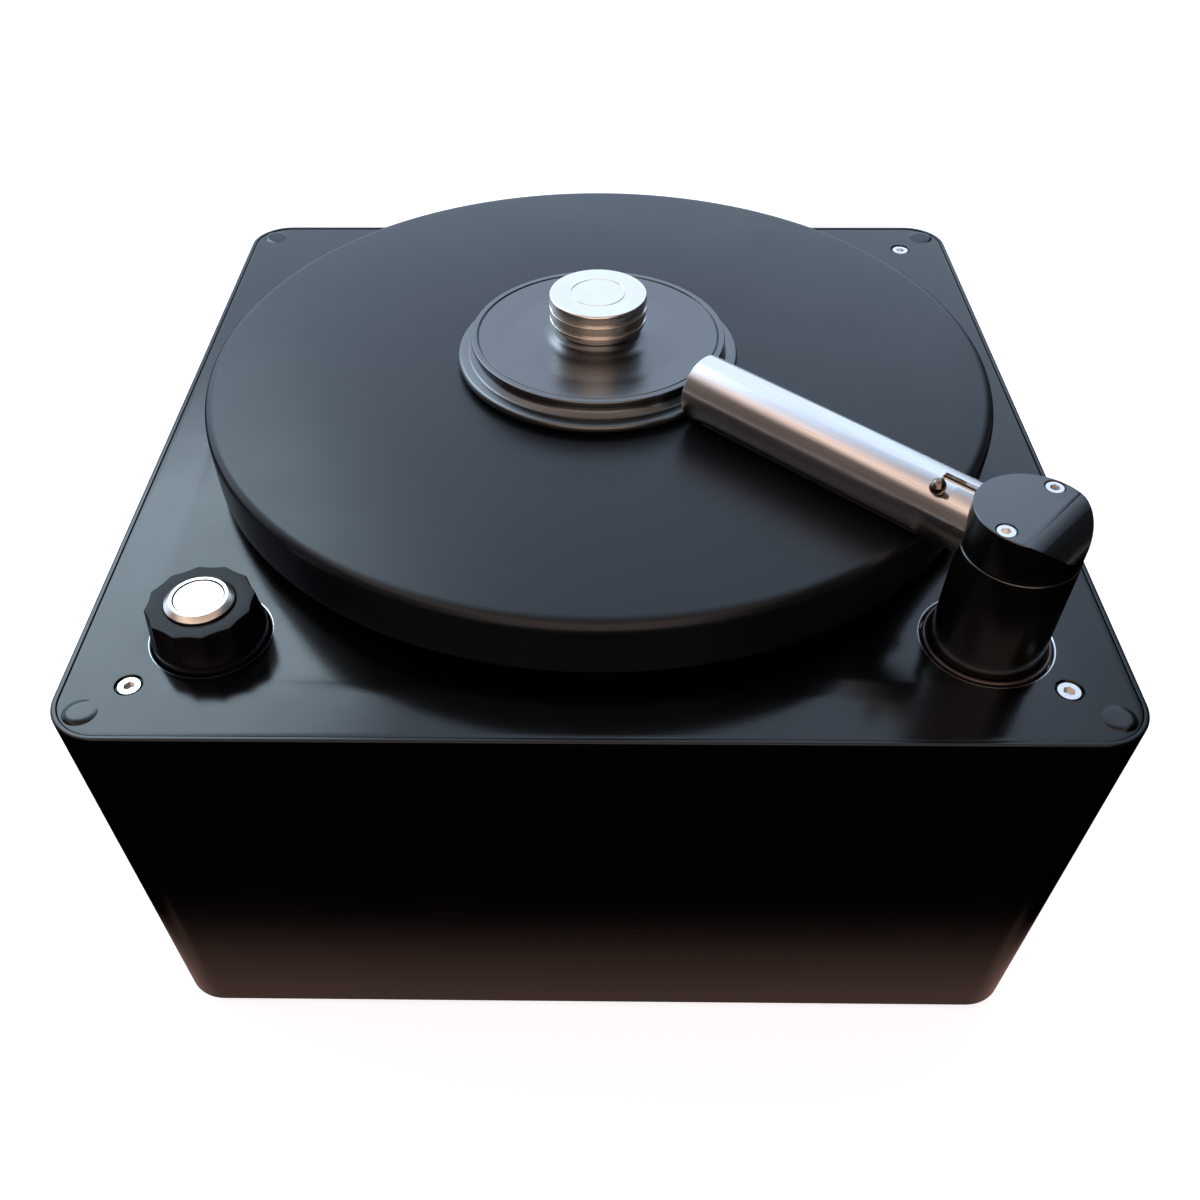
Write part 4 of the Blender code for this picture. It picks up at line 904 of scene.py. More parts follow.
def screw_tree():
    """Countersunk socket screws on points, each turned by its own amount."""
    tree, given, out = tree_inputs("socket_screws", {"Head Radius": "Float", "Head Depth": "Float",
                                                     "Shank Radius": "Float", "Length": "Float",
                                                     "Socket Radius": "Float", "Seed": "Int",
                                                     "Material": "Material"})

    def turned_part(sides, low_radius, high_radius, depth, low):
        """A cone or cylinder that stands from a low height."""
        cone = add_node(tree, "GeometryNodeMeshCone", {"Vertices": sides, "Side Segments": 1,
                                                       "Fill Segments": 1, "Radius Top": high_radius,
                                                       "Radius Bottom": low_radius, "Depth": depth})
        shift = add_node(tree, "ShaderNodeCombineXYZ", {"Z": low})
        return add_node(tree, "GeometryNodeTransform", {"Geometry": cone, "Translation": shift})

    head, depth, shank = given["Head Radius"], given["Head Depth"], given["Shank Radius"]
    top_radius = add_node(tree, "ShaderNodeMath", {0: head, 1: SCREW_CHAMFER}, operation="SUBTRACT")
    cone_low = add_node(tree, "ShaderNodeMath", {0: -SCREW_RIM, 1: depth}, operation="SUBTRACT")
    shank_low = add_node(tree, "ShaderNodeMath", {0: 0.0, 1: given["Length"]}, operation="SUBTRACT")
    socket_low = add_node(tree, "ShaderNodeMath", {0: depth, 1: -SOCKET_SHARE}, operation="MULTIPLY")
    parts = [turned_part(40, head, top_radius, SCREW_RIM, -SCREW_RIM),
             turned_part(40, shank, head, depth, cone_low),
             turned_part(24, shank, shank, given["Length"], shank_low)]
    body = add_node(tree, "GeometryNodeMeshBoolean", {"Mesh 2": parts}, operation="UNION", solver="EXACT")
    socket = turned_part(6, given["Socket Radius"], given["Socket Radius"], 0.01, socket_low)
    screw = add_node(tree, "GeometryNodeMeshBoolean", {"Mesh 1": body, "Mesh 2": socket},
                     operation="DIFFERENCE", solver="EXACT")
    spin = add_node(tree, "FunctionNodeRandomValue", {"Max": math.pi / 3, "Seed": given["Seed"]},
                    data_type="FLOAT").outputs["Value"]
    turn = add_node(tree, "ShaderNodeCombineXYZ", {"Z": spin})
    copies = add_node(tree, "GeometryNodeInstanceOnPoints", {"Points": given["Geometry"], "Instance": screw,
                                                             "Rotation": turn})
    return close_tree(tree, given, out, copies)


def screws(name, places, body, nodes, place=Matrix(), seed=1, **sizes):
    """A set of screws on one body, with their heads' faces at the given places."""
    mesh = bmesh.new()
    for at in places:
        mesh.verts.new(at)
    piece = grow(piece_from(name, mesh), SCREWS, Seed=seed, Material=TUMBLED, **sizes)
    return set_down(piece, body, TUMBLED, nodes, place)


SCREWS = screw_tree()
screws("deck_screws", [(x, y, PLATE_TOP - 0.0004) for x, y in SCREW_PLACES], "case",
       ["top_plate_screw_front_left", "top_plate_screw_front_right", "top_plate_screw_rear_right"], seed=4,
       Head_Radius=0.0038, Head_Depth=0.0019, Shank_Radius=0.0018, Length=0.012, Socket_Radius=0.0020)

# %% [markdown]
# ## The corner pads
# A soft round pad sits over each corner of the top. Its inner side runs flat into the plate, and its
# outer side stands about a millimetre proud with a steep round edge. A disc of points with a height rule
# makes it.

# %% Corner pads
PAD_RADIUS = 0.0056
PAD_SUNK = 0.0002
PAD_PLACES = [(-0.1620, -0.1610), (0.1620, -0.1610), (0.1622, 0.1612), (-0.1622, 0.1612)]


def pad_height(share, facing):
    """How high the pad stands at a share of its radius, on the outer (1) or the inner side (-1)."""
    return (0.00060 + 0.00050 * share * facing) * (1 - share ** 6)


def corner_pads():
    """Four soft discs of coat, one over each corner."""
    mesh = bmesh.new()
    rings, sides = 14, 64
    base = PLATE_TOP - PAD_SUNK
    for x, y in PAD_PLACES:
        outer = math.atan2(y, x)
        loops = []
        for ring in range(rings + 1):
            share = ring / rings
            loop = []
            for i in range(sides if ring else 1):
                angle = 2 * math.pi * i / sides
                out, rise = PAD_RADIUS * share, pad_height(share, math.cos(angle - outer))
                loop.append(mesh.verts.new((x + out * math.cos(angle), y + out * math.sin(angle),
                                            base + PAD_SUNK + rise)))
            loops.append(loop)
        loops.append([mesh.verts.new((v.co.x, v.co.y, base)) for v in loops[-1]])
        for low, high in zip(loops, loops[1:]):
            for i in range(sides):
                after = (i + 1) % sides
                corners = [low[i % len(low)], high[i], high[after], low[after % len(low)]]
                mesh.faces.new(list(dict.fromkeys(corners)))
        mesh.faces.new(loops[-1][::-1])
    bmesh.ops.recalc_face_normals(mesh, faces=mesh.faces)
    return set_down(piece_from("corner_pads", mesh), "case", COAT, [], crease=60)


corner_pads()

# %% [markdown]
# ## The platter
# The platter is a thick disc, 300 mm across for a twelve inch record, with a soft top edge and a sharp
# little chamfer below. A pocket under it takes the hub. It is spun from one profile, with many sides,
# because its outline is the longest curve in the picture.

# %% Platter
PLATTER_RADIUS = 0.150
PLATTER_UNDER = 0.1796
PLATTER_TOP = 0.2006
SPINDLE_RADIUS = 0.006
HUB_RADIUS = 0.040



def platter_disc():
    """The platter's profile, from its bore over the top and the edge to the hub's pocket."""
    bore, hub, pocket = SPINDLE_RADIUS + 0.0003, HUB_RADIUS + 0.0003, PLATTER_UNDER + 0.0056
    points = [(bore, pocket), (bore, PLATTER_TOP, 0.0004), (PLATTER_RADIUS, PLATTER_TOP, 0.0045),
              (PLATTER_RADIUS, PLATTER_UNDER, 0.0012), (hub, PLATTER_UNDER, 0.0004), (hub, pocket)]
    disc = piece_from("platter_disc", lathe(points, 288, closed=True))
    return set_down(disc, "turntable", ACETAL, ["platter"])


platter_disc()

# %% [markdown]
# ## The record clamp
# The clamp is a black turned disc. From the edge inwards it has a round lip, a waist, a raised ring with
# a fine groove, and a dished top that rises in a small trumpet to the knob. The knob is bright stainless
# with two grooves round it, and a fine circle is cut in its top. Both are profiles spun round the
# spindle.

# %% Clamp
CLAMP_RADIUS = 0.0536
TIP_BORE = 0.0039


def clamp_disc():
    """The black disc of the clamp, from its underside round the edge to the trumpet."""
    rises = [(TIP_BORE, 0.0016), (CLAMP_RADIUS, 0.0016, 0.0012), (CLAMP_RADIUS, 0.0043, 0.0013),
             (0.0492, 0.0047, 0.0020), (0.0470, 0.0064, 0.0012), (0.0470, 0.0080, 0.0010),
             (0.0483, 0.0094, 0.0008), (0.0483, 0.0108, 0.0006), (0.0460, 0.0109, 0.0002),
             (0.0457, 0.0102, 0.0001), (0.0452, 0.0107, 0.0002), (0.0330, 0.0098, 0.0300),
             (0.0200, 0.0104, 0.0100), (0.0162, 0.0118, 0.0030), (0.0150, 0.0132), (TIP_BORE, 0.0132)]
    points = [(radius, PLATTER_TOP + rise, *soft) for radius, rise, *soft in rises]
    disc = piece_from("clamp_disc", lathe(points, 192, closed=True))
    return set_down(disc, "clamp", ANODISED, ["clamp_puck"])


def clamp_pad():
    """The soft ring that presses on the record."""
    base = PLATTER_TOP
    points = [(0.020, base + 0.0003), (0.0505, base + 0.0003, 0.0003), (0.0505, base + 0.0013, 0.0002),
              (0.020, base + 0.0013)]
    ring = piece_from("soft_ring", lathe(points, 128, closed=True))
    return set_down(ring, "clamp", RUBBER, ["clamp_pad"])


def clamp_knob():
    """The bright grip, with two grooves round it and a fine circle in its top."""
    radius, top, low = 0.0182, 0.2272, 0.2141
    points = [(0, low + 0.0065), (TIP_BORE, low + 0.0065), (TIP_BORE, low), (0.0150, low, 0.0004),
              (0.0176, low + 0.0018, 0.0010), (radius, low + 0.0032, 0.0006)]
    for groove in (top - 0.0088, top - 0.0046):
        points += [(radius, groove, 0.0002), (radius - 0.0010, groove + 0.0003, 0.0003),
                   (radius - 0.0010, groove + 0.0008, 0.0003), (radius, groove + 0.0011, 0.0002)]
    points += [(radius, top, 0.0009), (0.0102, top, 0.0001), (0.0100, top - 0.00025), (0.0098, top, 0.0001),
               (0, top)]
    grip = piece_from("clamp_grip", lathe(points, 160))
    return set_down(grip, "clamp_knob", TURNED, ["clamp_knob"])


clamp_disc()
clamp_pad()
clamp_knob()

# %% [markdown]
# ## The control knob, by Geometry Nodes
# The knob is a moulded cup with twelve shallow scoops in its side for the fingers, so its shape follows a
# rule. A smooth profile is spun first. A tree then moves each point inwards by how far it is into a
# scoop, and the scoops fade out above a plain skirt. The drain cap at the back gets its grip from the
# same tree.

# %% Knob
FLUTE_FADE = 0.003


def flute_tree():
    """Pushes the side of a round piece in towards its z axis, in scoops that meet at ridges."""
    tree, given, out = tree_inputs("flutes", {"Flutes": "Int", "Depth": "Float", "Fade Start": "Float",
                                              "Fade End": "Float", "Inner Radius": "Float",
                                              "Material": "Material"})

    spot = add_node(tree, "GeometryNodeInputPosition")
    x, y, z = add_node(tree, "ShaderNodeSeparateXYZ", {0: spot}).outputs
    outward = add_node(tree, "ShaderNodeCombineXYZ", {"X": x, "Y": y})
    radius = add_node(tree, "ShaderNodeVectorMath", {0: outward}, operation="LENGTH").outputs["Value"]
    angle = add_node(tree, "ShaderNodeMath", {0: y, 1: x}, operation="ARCTAN2")
    half_count = add_node(tree, "ShaderNodeMath", {0: given["Flutes"], 1: 0.5}, operation="MULTIPLY")
    beat = add_node(tree, "ShaderNodeMath", {0: angle, 1: half_count}, operation="MULTIPLY")
    wave = add_node(tree, "ShaderNodeMath", {0: beat}, operation="COSINE")
    scoop = add_node(tree, "ShaderNodeMath", {0: wave}, operation="ABSOLUTE")
    rise = add_node(tree, "ShaderNodeMapRange",
                    {"Value": z, "From Min": given["Fade Start"], "From Max": given["Fade End"]},
                    interpolation_type="SMOOTHSTEP")
    full = add_node(tree, "ShaderNodeMath", {0: given["Inner Radius"], 1: FLUTE_FADE}, operation="ADD")
    inner = add_node(tree, "ShaderNodeMapRange", {"Value": radius, "From Min": given["Inner Radius"],
                                                  "From Max": full})
    share = add_node(tree, "ShaderNodeMath", {0: rise, 1: inner}, operation="MULTIPLY")
    scooped = add_node(tree, "ShaderNodeMath", {0: scoop, 1: share}, operation="MULTIPLY")
    inward = add_node(tree, "ShaderNodeMath", {0: given["Depth"], 1: -1.0}, operation="MULTIPLY")
    push = add_node(tree, "ShaderNodeMath", {0: scooped, 1: inward}, operation="MULTIPLY")
    way = add_node(tree, "ShaderNodeVectorMath", {0: outward}, operation="NORMALIZE")
    offset = add_node(tree, "ShaderNodeVectorMath", {0: way, "Scale": push}, operation="SCALE")
    pushed = add_node(tree, "GeometryNodeSetPosition", {"Geometry": given["Geometry"], "Offset": offset})
    return close_tree(tree, given, out, pushed)


FLUTES = flute_tree()
KNOB_TOP = RIM + 0.0145
BUTTON_RADIUS = 0.0082
BEZEL_RADIUS = 0.0114
KNOB_AT = Matrix.Translation((KNOB_X, KNOB_Y, 0))


def fluted_knob():
    """The moulded cup of the control knob, spun and then scooped."""
    bore, seat, floor_z = 0.0098, KNOB_TOP - 0.0012, RIM + 0.0010
    ring = BEZEL_RADIUS + 0.0003
    side = [(0.0188 - 0.0010 * t, RIM + 0.0040 + (KNOB_TOP - RIM - 0.0050) * t)
            for t in (0, 0.2, 0.4, 0.6, 0.8)]
    points = [(0.0043, RIM - 0.0020), (0.0190, RIM - 0.0020, 0.0005), (0.0190, RIM + 0.0030, 0.0008), *side,
              (0.0177, KNOB_TOP, 0.0004), (ring, KNOB_TOP, 0.0002), (ring, seat), (bore, seat),
              (bore, floor_z), (0.0043, floor_z)]
    knob = piece_from("fluted_knob", lathe(points, 288, closed=True))
    grow(knob, FLUTES, Flutes=12, Depth=0.0009, Fade_Start=RIM + 0.0030, Fade_End=RIM + 0.0080,
         Inner_Radius=0.0130, Material=NYLON)
    return set_down(knob, "knob", NYLON, ["control_knob"], KNOB_AT, crease=25)


def button_ring():
    """The turned ring round the button."""
    bore, floor_z, seat = 0.0095, RIM + 0.0013, KNOB_TOP - 0.0009
    points = [(BUTTON_RADIUS + 0.0003, floor_z), (bore, floor_z), (bore, seat), (BEZEL_RADIUS, seat),
              (BEZEL_RADIUS, KNOB_TOP + 0.0008, 0.0002), (0.0095, KNOB_TOP + 0.0021, 0.0002),
              (BUTTON_RADIUS + 0.0003, KNOB_TOP + 0.0021, 0.0002)]
    ring = piece_from("button_ring", lathe(points, 128, closed=True))
    return set_down(ring, "knob", TURNED, ["button_bezel"], KNOB_AT)


def round_button():
    """The push button, a little dished."""
    face = KNOB_TOP + 0.0019
    points = [(0, face - 0.010), (BUTTON_RADIUS, face - 0.010, 0.001),
              (BUTTON_RADIUS, face - 0.0001, 0.0004), (0.0040, face, 0.002), (0, face)]
    button = piece_from("round_button", lathe(points, 96))
    return set_down(button, "button", TUMBLED, ["push_button"], KNOB_AT)


fluted_knob()
button_ring()
round_button()

# %% [markdown]
# ## The suction arm
# The arm is the part that takes most care. A thick black post turns and lifts in a bronze sleeve. Its
# head is split: the cap is screwed down on the post and clamps the spigot of the tube between them, and
# behind the tube the cap rounds off. Everything here is made on the bench with the tube along x, and then
# the whole arm is turned to its azimuth and moved to the post.

# %% Sizes of the arm
HEAD_JOINT = RIM + 0.0388
HEAD_TOP = RIM + 0.0530
HEAD_RADIUS = 0.0180
HEAD_ROUND_START = 0.0045
POST_RADIUS = 0.0183
POST_BORE = 0.0095
TUBE_HEIGHT = RIM + 0.0402
TUBE_RADIUS = 0.01125
TUBE_BORE = 0.01005
TUBE_START = 0.0135
TUBE_END = 0.1262
SPIGOT_RADIUS = 0.0097
CAP_SCREW_FORWARD = 0.0013
CAP_SCREW_SPREAD = 0.0143
CAP_SCREW_HOLE = 0.0017
CAP_SCREWS = [(CAP_SCREW_FORWARD, side * CAP_SCREW_SPREAD) for side in (1, -1)]
ARM_AT = Matrix.Translation((POST_X, POST_Y, 0)) @ Matrix.Rotation(math.radians(136.75), 4, "Z")
TUBE_AT = ARM_AT @ Matrix.Translation((0, 0, TUBE_HEIGHT))


def along_x(mesh, at=(0, 0, 0)):
    """A shape drawn up the z axis, laid along x."""
    return moved(mesh, at, math.radians(90), "Y")


# %% Sleeve, post and cap
def collar_sleeve():
    """The bronze sleeve with its collar, and the slot in which the post's key runs."""
    inner, outer, top = POST_RADIUS + 0.0003, POST_HOLE - 0.0005, RIM + 0.0004
    collar, collar_low, collar_top = 0.0240, 0.1060, 0.1097
    points = [(inner, collar_low), (collar, collar_low, 0.0005), (collar, collar_top, 0.0005),
              (outer, collar_top), (outer, top, 0.0004), (outer - 0.0009, top, 0.0003), (inner, top - 0.0012)]
    sleeve = piece_from("collar_sleeve", lathe(points, 128, closed=True))
    cut(sleeve, bar((0.010, 0.0046, 0.0326), (-0.0200, 0, 0.1380)))
    return set_down(sleeve, "swing_sleeve", BRONZE, ["post_sleeve"], ARM_AT)


def head_seats():
    """What the spigot and the end of the tube take out of the split head."""
    return [along_x(drum(SPIGOT_RADIUS + 0.0003, 0.002, 0.030), (0, 0, TUBE_HEIGHT)),
            along_x(drum(TUBE_RADIUS + 0.0003, TUBE_START - 0.0003, 0.030), (0, 0, TUBE_HEIGHT))]


def post():
    """The hollow post, with the seats of the tube and the holes of the cap's screws."""
    points = [(POST_BORE, 0.078), (POST_RADIUS, 0.078, 0.0006), (POST_RADIUS, HEAD_JOINT, 0.0005),
              (POST_BORE, HEAD_JOINT)]
    made = piece_from("post", lathe(points, 160, closed=True))
    for seat in head_seats():
        cut(made, seat)
    holes = [moved(drum(CAP_SCREW_HOLE, HEAD_JOINT - 0.009, HEAD_JOINT + 0.001, 24), (x, y, 0))
             for x, y in CAP_SCREWS]
    cut(made, together(holes))
    return set_down(made, "arm", SATIN_ANODISED, ["arm_post"], ARM_AT)


def round_back_tool():
    """The block that is taken off the cap behind the tube, which leaves a quarter round there."""
    radius, start, steps, far = HEAD_TOP - HEAD_JOINT, -HEAD_ROUND_START, 32, 0.025
    arc = [(start - radius * math.sin(a), HEAD_JOINT + radius * math.cos(a))
           for a in (math.radians(90) * i / steps for i in range(1, steps + 1))]
    outline = [(start, HEAD_TOP + 0.004), (start, HEAD_TOP + 0.00001), *arc, (-far, HEAD_JOINT),
               (-far, HEAD_TOP + 0.004)]
    return prism(*[[(x, y, z) for x, z in outline] for y in (-far, far)])


def cap():
    """The upper half of the head: rounded off behind, seated on the spigot, with a hole for each screw."""
    low = HEAD_JOINT + 0.0003
    points = [(0, low), (HEAD_RADIUS, low, 0.0005), (HEAD_RADIUS, HEAD_TOP, 0.0005), (0, HEAD_TOP)]
    made = piece_from("cap", lathe(points, 160))
    cut(made, round_back_tool())
    cut(made, drum(POST_BORE, low - 0.001, TUBE_HEIGHT + 0.0078))
    for seat in head_seats():
        cut(made, seat)
    face, under, over = HEAD_TOP - 0.0003, low - 0.001, HEAD_TOP + 0.001
    sink = [(0, under), (CAP_SCREW_HOLE, under), (CAP_SCREW_HOLE, face - 0.0019), (0.0032, face - 0.0002),
            (0.0033, face), (0.0033, over), (0, over)]
    cut(made, together([moved(lathe(sink, 40), (x, y, 0)) for x, y in CAP_SCREWS]))
    soft = made.modifiers.new("edges", "BEVEL")
    soft.width = 0.00025
    soft.segments = 2
    soft.limit_method = "ANGLE"
    soft.angle_limit = math.radians(40)
    settle(made)
    set_down(made, "arm", SATIN_ANODISED, ["arm_cap"], ARM_AT, crease=25)
    bench = [entry.vector for entry in made.data.attributes["bench"].data]
    for edge in made.data.edges:
        ends = [bench[i] for i in edge.vertices]
        if all(abs(end.z - HEAD_TOP) < 2e-5 and abs(end.x + HEAD_ROUND_START) < 4e-4 for end in ends):
            edge.use_edge_sharp = True


collar_sleeve()
post()
cap()
screws("cap_screws", [(x, y, HEAD_TOP - 0.0003) for x, y in CAP_SCREWS], "arm",
       ["arm_cap_screw_near", "arm_cap_screw_far"], ARM_AT, seed=9, Head_Radius=0.0029, Head_Depth=0.0015,
       Shank_Radius=0.0014, Length=0.021, Socket_Radius=0.0016)

# %% [markdown]
# ## The suction tube
# The tube pushes over a spigot and locks with a quarter twist: a ball-headed pin on the spigot runs in an
# L-shaped slot cut in the tube's end. The tube is a closed ring profile spun round x, and the slot is cut
# with two pieces of a ring, one along the tube and one across it. Underneath, a long narrow slit takes
# the fluid off the record.

# %% Tube, spigot and pin
PIN_ALONG = 0.0278
PIN_ANGLE = math.radians(35)
EXIT_ANGLE = math.radians(8)
SLOT_HALF = 0.0018
SLOT_BACK = 0.0042


def ring_sector(inner, outer, start, end, low, high, steps=16):
    """A piece of a ring between two angles from +z towards +y, standing along x from low to high."""
    angles = [start + (end - start) * i / steps for i in range(steps + 1)]
    outline = [(outer, a) for a in angles] + [(inner, a) for a in reversed(angles)]
    return prism(*[[(x, r * math.sin(a), r * math.cos(a)) for r, a in outline] for x in (low, high)])


def brushed_tube():
    """The suction tube with the slot of its bayonet and the slit underneath."""
    points = [(TUBE_BORE, TUBE_START), (TUBE_RADIUS, TUBE_START, 0.0002), (TUBE_RADIUS, TUBE_END, 0.0003),
              (TUBE_BORE, TUBE_END)]
    tube = piece_from("brushed_tube", along_x(lathe(points, 160, closed=True)))
    half = SLOT_HALF / TUBE_RADIUS
    narrow = half * 0.98
    cut(tube, ring_sector(0.0085, 0.0135, EXIT_ANGLE - half, PIN_ANGLE + half, PIN_ALONG - SLOT_BACK,
                          PIN_ALONG + SLOT_HALF))
    cut(tube, ring_sector(0.0083, 0.0137, EXIT_ANGLE - narrow, EXIT_ANGLE + narrow, TUBE_START - 0.002,
                          PIN_ALONG))
    cut(tube, bar((0.084, 0.0022, 0.006), (0.0765, 0, -TUBE_RADIUS)))
    return set_down(tube, "tube", BRUSHED, ["suction_tube"], TUBE_AT)


def end_plug():
    """The plug that closes the tube's free end."""
    points = [(0, TUBE_END - 0.0035), (TUBE_BORE - 0.0003, TUBE_END - 0.0035),
              (TUBE_BORE - 0.0003, TUBE_END - 0.0005, 0.0003), (0, TUBE_END - 0.0005)]
    return set_down(piece_from("end_plug", along_x(lathe(points, 96))), "tube", NYLON,
                    ["tube_end_plug"], TUBE_AT)


def spigot():
    """The short pipe in the head that the tube pushes over."""
    bore, start, end = 0.0082, 0.0100, 0.048
    points = [(bore, start), (SPIGOT_RADIUS, start, 0.0002), (SPIGOT_RADIUS, end, 0.0008), (bore, end)]
    made = piece_from("spigot", along_x(lathe(points, 96, closed=True)))
    cut(made, moved(drum(0.0017, 0.006, 0.012, 24), (PIN_ALONG, 0, 0), -PIN_ANGLE, "X"))
    return set_down(made, "arm", TUMBLED, ["tube_spigot"], TUBE_AT)


def ball_pin():
    """The pin of the bayonet: a neck and a ball."""
    ball, centre, neck = 0.0026, 0.0137, 0.0014
    start = math.asin(neck / ball)
    steps = 16
    arc = [(ball * math.sin(a), centre - ball * math.cos(a))
           for a in (start + (math.pi - start) * i / steps for i in range(steps))]
    points = [(0, 0.0088), (neck, 0.0088), *arc, (0, centre + ball)]
    pin = piece_from("ball_pin", moved(lathe(points, 64), (PIN_ALONG, 0, 0), -PIN_ANGLE, "X"))
    return set_down(pin, "arm", PIN_STEEL, ["bayonet_pin"], TUBE_AT)


brushed_tube()
end_plug()
spigot()
ball_pin()

# %% [markdown]
# ## The wiper strips, by Geometry Nodes
# Two strips of short black pile run along the slit, one on each side, so that metal never touches a
# record. The strip's base is a thin piece of a ring. A tree scatters points over it, grows a short
# tapered fibre on each and turns the whole into one mesh. Each fibre has three sides only, because there
# are thousands.

# %% Wiper strips
PILE_FACING = 0.010
PILE_TIP = 0.00002


def pile_tree():
    """Short tapered fibres on the outward faces of a strip."""
    tree, given, out = tree_inputs("pile", {"Density": "Float", "Length": "Float", "Radius": "Float",
                                            "Seed": "Int", "Material": "Material"})
    face = add_node(tree, "GeometryNodeInputNormal")
    spot = add_node(tree, "GeometryNodeInputPosition")
    across = add_node(tree, "ShaderNodeVectorMath", {0: spot, 1: (0, 1, 1)}, operation="MULTIPLY")
    facing = add_node(tree, "ShaderNodeVectorMath", {0: face, 1: across},
                      operation="DOT_PRODUCT").outputs["Value"]
    outside = add_node(tree, "ShaderNodeMath", {0: facing, 1: PILE_FACING}, operation="GREATER_THAN")
    points = add_node(tree, "GeometryNodeDistributePointsOnFaces",
                      {"Mesh": given["Geometry"], "Selection": outside, "Density": given["Density"],
                       "Seed": given["Seed"]}).outputs
    fibre = add_node(tree, "GeometryNodeMeshCone",
                     {"Vertices": 3, "Side Segments": 1, "Radius Top": PILE_TIP,
                      "Radius Bottom": given["Radius"], "Depth": given["Length"]})
    size = add_node(tree, "FunctionNodeRandomValue", {"Min": 0.6, "Max": 1.0, "Seed": given["Seed"]},
                    data_type="FLOAT").outputs["Value"]
    copies = add_node(tree, "GeometryNodeInstanceOnPoints", {"Points": points["Points"], "Instance": fibre,
                                                             "Rotation": points["Rotation"], "Scale": size})
    both = add_node(tree, "GeometryNodeJoinGeometry", {"Geometry": [given["Geometry"], copies]})
    return close_tree(tree, given, out, both)


PILE_TREE = pile_tree()


def wiper_strip(side, start, seed):
    """A strip of pile beside the slit, from its starting angle in degrees."""
    inner = TUBE_RADIUS + 0.0003
    strip = ring_sector(inner, inner + 0.0004, math.radians(start), math.radians(start + 20), 0.0320,
                        0.1210)
    piece = piece_from(f"pile_strip_{side}", strip)
    grow(piece, PILE_TREE, Density=9e6, Length=0.0003, Radius=0.00009, Seed=seed, Material=PILE)
    return set_down(piece, "tube", PILE, [f"wiper_strip_{side}"], TUBE_AT)


wiper_strip("front", 153, 3)
wiper_strip("rear", 187, 5)

# %% [markdown]
# ## The back
# The photograph doesn't show the back, so it follows what such machines have: a formed tray behind a
# window, with a mains inlet, a rocker switch and a drain spout under a rubber cap. Trays and housings are
# profiles carried round rounded rectangles, and the spout and its cap are turned.

# %% Rear pieces
TRAY_MOUTH = CASE_HALF - WALL - 0.0003
TRAY_DEPTH = 0.020
TRAY_FACE = -TRAY_DEPTH + 0.0003
INLET_X, SWITCH_X, SPOUT_X, SPOUT_Z = -0.035, 0.0, 0.040, -0.010


def outwards(x, z=0.0):
    """A place in the tray, with the bench z axis pointing out of the case."""
    at = Matrix.Translation((TRAY_X + x, TRAY_MOUTH, TRAY_Z + z))
    return at @ Matrix.Rotation(math.radians(-90), 4, "X")


def formed_tray():
    """The tray behind the window, with openings for the inlet, the switch and the spout."""
    inset, wall, deep = 0.008, 0.0015, -TRAY_DEPTH
    points = [(inset - wall, deep - wall), (inset - wall, -wall, 0.001), (0, -wall), (0, 0),
              (inset, 0, 0.0012), (inset, deep, 0.0015), (inset + 0.004, deep)]
    tray = piece_from("formed_tray", framed(points, 0.0735, 0.0335, 0.012, 12))
    below, above = deep - 0.003, deep + 0.001
    through = [(0, below), (0, above)]
    cut(tray, together([moved(framed(through, 0.01355, 0.01005, 0.0008, 4), (INLET_X, 0, 0)),
                        moved(framed(through, 0.0098, 0.0068, 0.001, 4), (SWITCH_X, 0, 0)),
                        moved(drum(0.0073, below, above, 64), (SPOUT_X, -SPOUT_Z, 0))]))
    return set_down(tray, "case", COAT, ["rear_tray"], outwards(0))


def inlet():
    """The mains inlet: a cup with three flat pins."""
    face = TRAY_FACE
    points = [(0.00225, face - 0.0183), (0.00225, face), (0, face), (0, face + 0.002, 0.0005),
              (0.0035, face + 0.002, 0.0004), (0.0035, face - 0.0163)]
    made = piece_from("three_pin_inlet", framed(points, 0.0155, 0.0120, 0.003, 8))
    for x, y in [(-0.007, 0.002), (0.007, 0.002), (0, -0.002)]:
        cut(made, bar((0.002, 0.004, 0.012), (x, y, face - 0.0108)), "UNION")
    return set_down(made, "case", NYLON, ["mains_inlet"], outwards(INLET_X))


def switch_frame():
    """The frame of the rocker switch."""
    face = TRAY_FACE
    points = [(0.001, face - 0.014), (0.001, face), (0, face), (0, face + 0.0015, 0.0005),
              (0.0015, face + 0.0015, 0.0003), (0.0015, face - 0.012)]
    made = piece_from("switch_frame", framed(points, 0.0105, 0.0075, 0.0015, 8))
    return set_down(made, "case", NYLON, ["switch_housing"], outwards(SWITCH_X))


def drain():
    """The drain spout, with a bead that holds its cap."""
    face = TRAY_FACE
    rises = [(0.0042, -0.0123), (0.0068, -0.0123, 0.0003), (0.0068, 0), (0.0100, 0, 0.0003),
             (0.0100, 0.0018, 0.0004), (0.0066, 0.0018, 0.0003), (0.0066, 0.0118), (0.0072, 0.0124, 0.0003),
             (0.0064, 0.0138, 0.0003), (0.0042, 0.0138)]
    points = [(radius, face + rise, *soft) for radius, rise, *soft in rises]
    spout = piece_from("drain_nozzle", lathe(points, 96, closed=True))
    return set_down(spout, "case", ZINC, ["drain_spout"], outwards(SPOUT_X, SPOUT_Z))


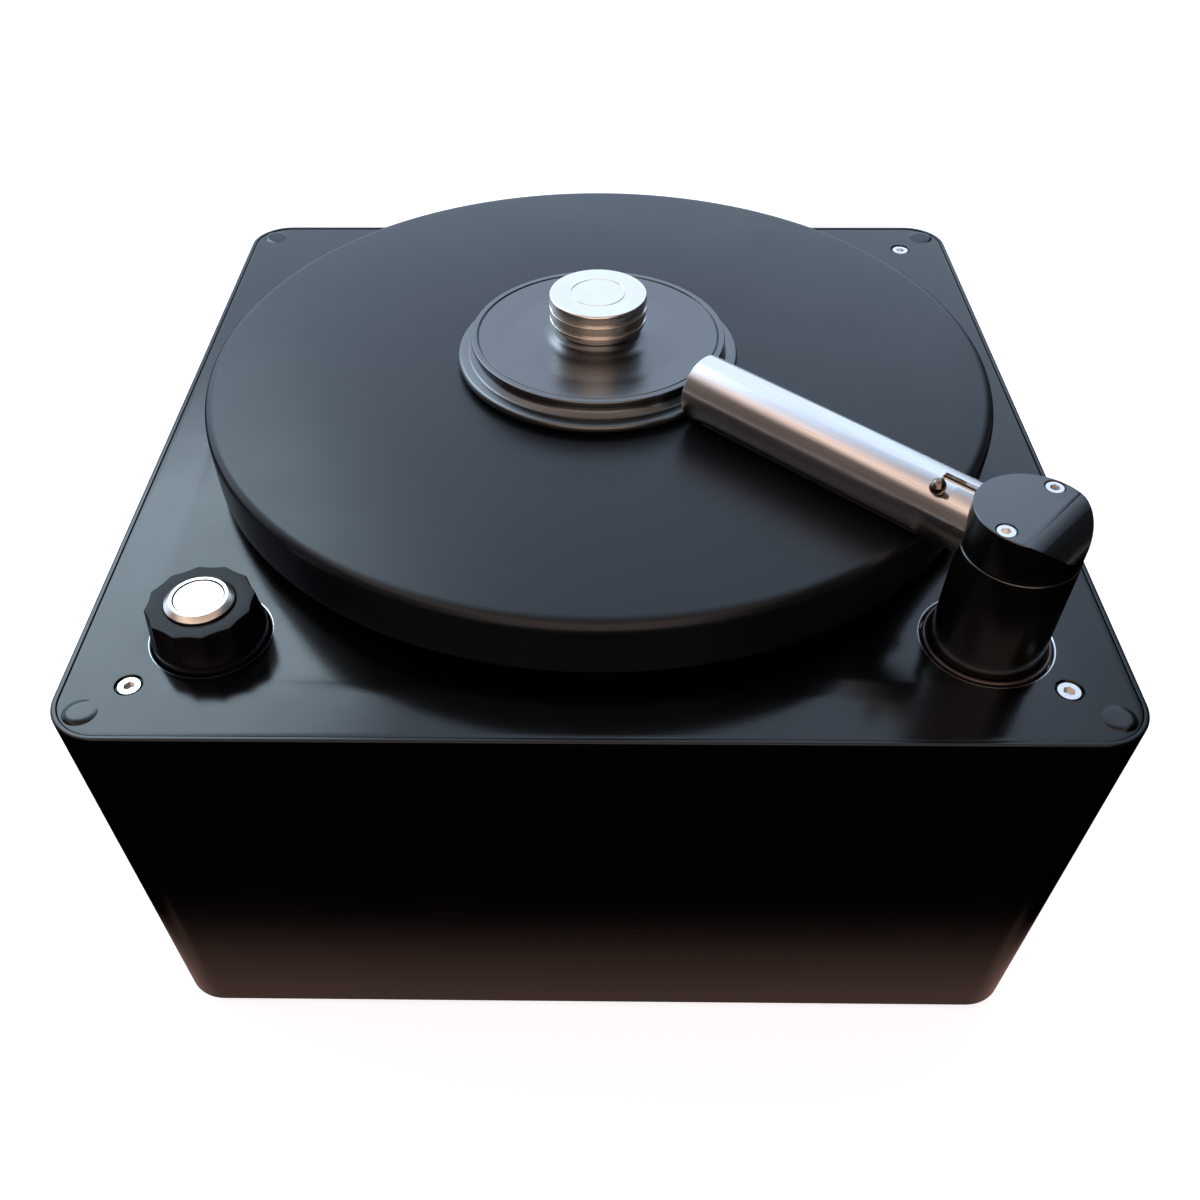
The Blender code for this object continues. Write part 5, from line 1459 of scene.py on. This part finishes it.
def ribbed_cap():
    """The rubber cap of the spout, with grips round its side."""
    face = TRAY_FACE
    mouth, end, inner = face + 0.0026, face + 0.0160, 0.0075
    side = [(0.0090, mouth + 0.003 + 0.0018 * i) for i in range(6)]
    points = [(0, end - 0.0018), (inner, end - 0.0018), (inner, mouth), (0.0098, mouth, 0.0005),
              (0.0098, mouth + 0.002, 0.0005), *side, (0.0090, end, 0.0010), (0, end)]
    rubber_cap = piece_from("ribbed_cap", lathe(points, 240))
    grow(rubber_cap, FLUTES, Flutes=20, Depth=0.0006, Fade_Start=mouth + 0.0026, Fade_End=mouth + 0.0042,
         Inner_Radius=0.0076, Material=RUBBER)
    return set_down(rubber_cap, "drain_cap", RUBBER, ["drain_cap"], outwards(SPOUT_X, SPOUT_Z))


formed_tray()
inlet()
switch_frame()
drain()
ribbed_cap()

# %% [markdown]
# ## The feet
# Four rubber feet carry the case. Each is a low turned cone with a hollow for its screw. The same foot
# stands at four points, so a tree repeats it.

# %% Feet
def repeat_tree():
    """Puts a copy of a piece on every point."""
    tree, given, out = tree_inputs("repeat", {"Piece": "Object", "Material": "Material"})
    part = add_node(tree, "GeometryNodeObjectInfo", {"Object": given["Piece"]}).outputs["Geometry"]
    copies = add_node(tree, "GeometryNodeInstanceOnPoints", {"Points": given["Geometry"], "Instance": part})
    return close_tree(tree, given, out, copies)


REPEAT = repeat_tree()
FOOT_SPREAD = 0.130


def feet():
    """The four feet, as one piece."""
    profile = [(0, 0.0022), (0.0035, 0.0022), (0.0035, 0, 0.0003), (0.0094, 0, 0.0005),
               (0.0103, 0.0010, 0.0008), (0.0110, 0.0052, 0.0004), (0, 0.0052)]
    foot = piece_from("foot_pattern", lathe(profile, 64))
    points = bmesh.new()
    for x, y in CORNERS:
        points.verts.new((x * FOOT_SPREAD, y * FOOT_SPREAD, 0))
    made = grow(piece_from("rubber_feet", points), REPEAT, Piece=foot, Material=RUBBER)
    bpy.data.objects.remove(foot)
    return set_down(made, "case", RUBBER,
                    ["foot_front_left", "foot_front_right", "foot_rear_left", "foot_rear_right"])


feet()
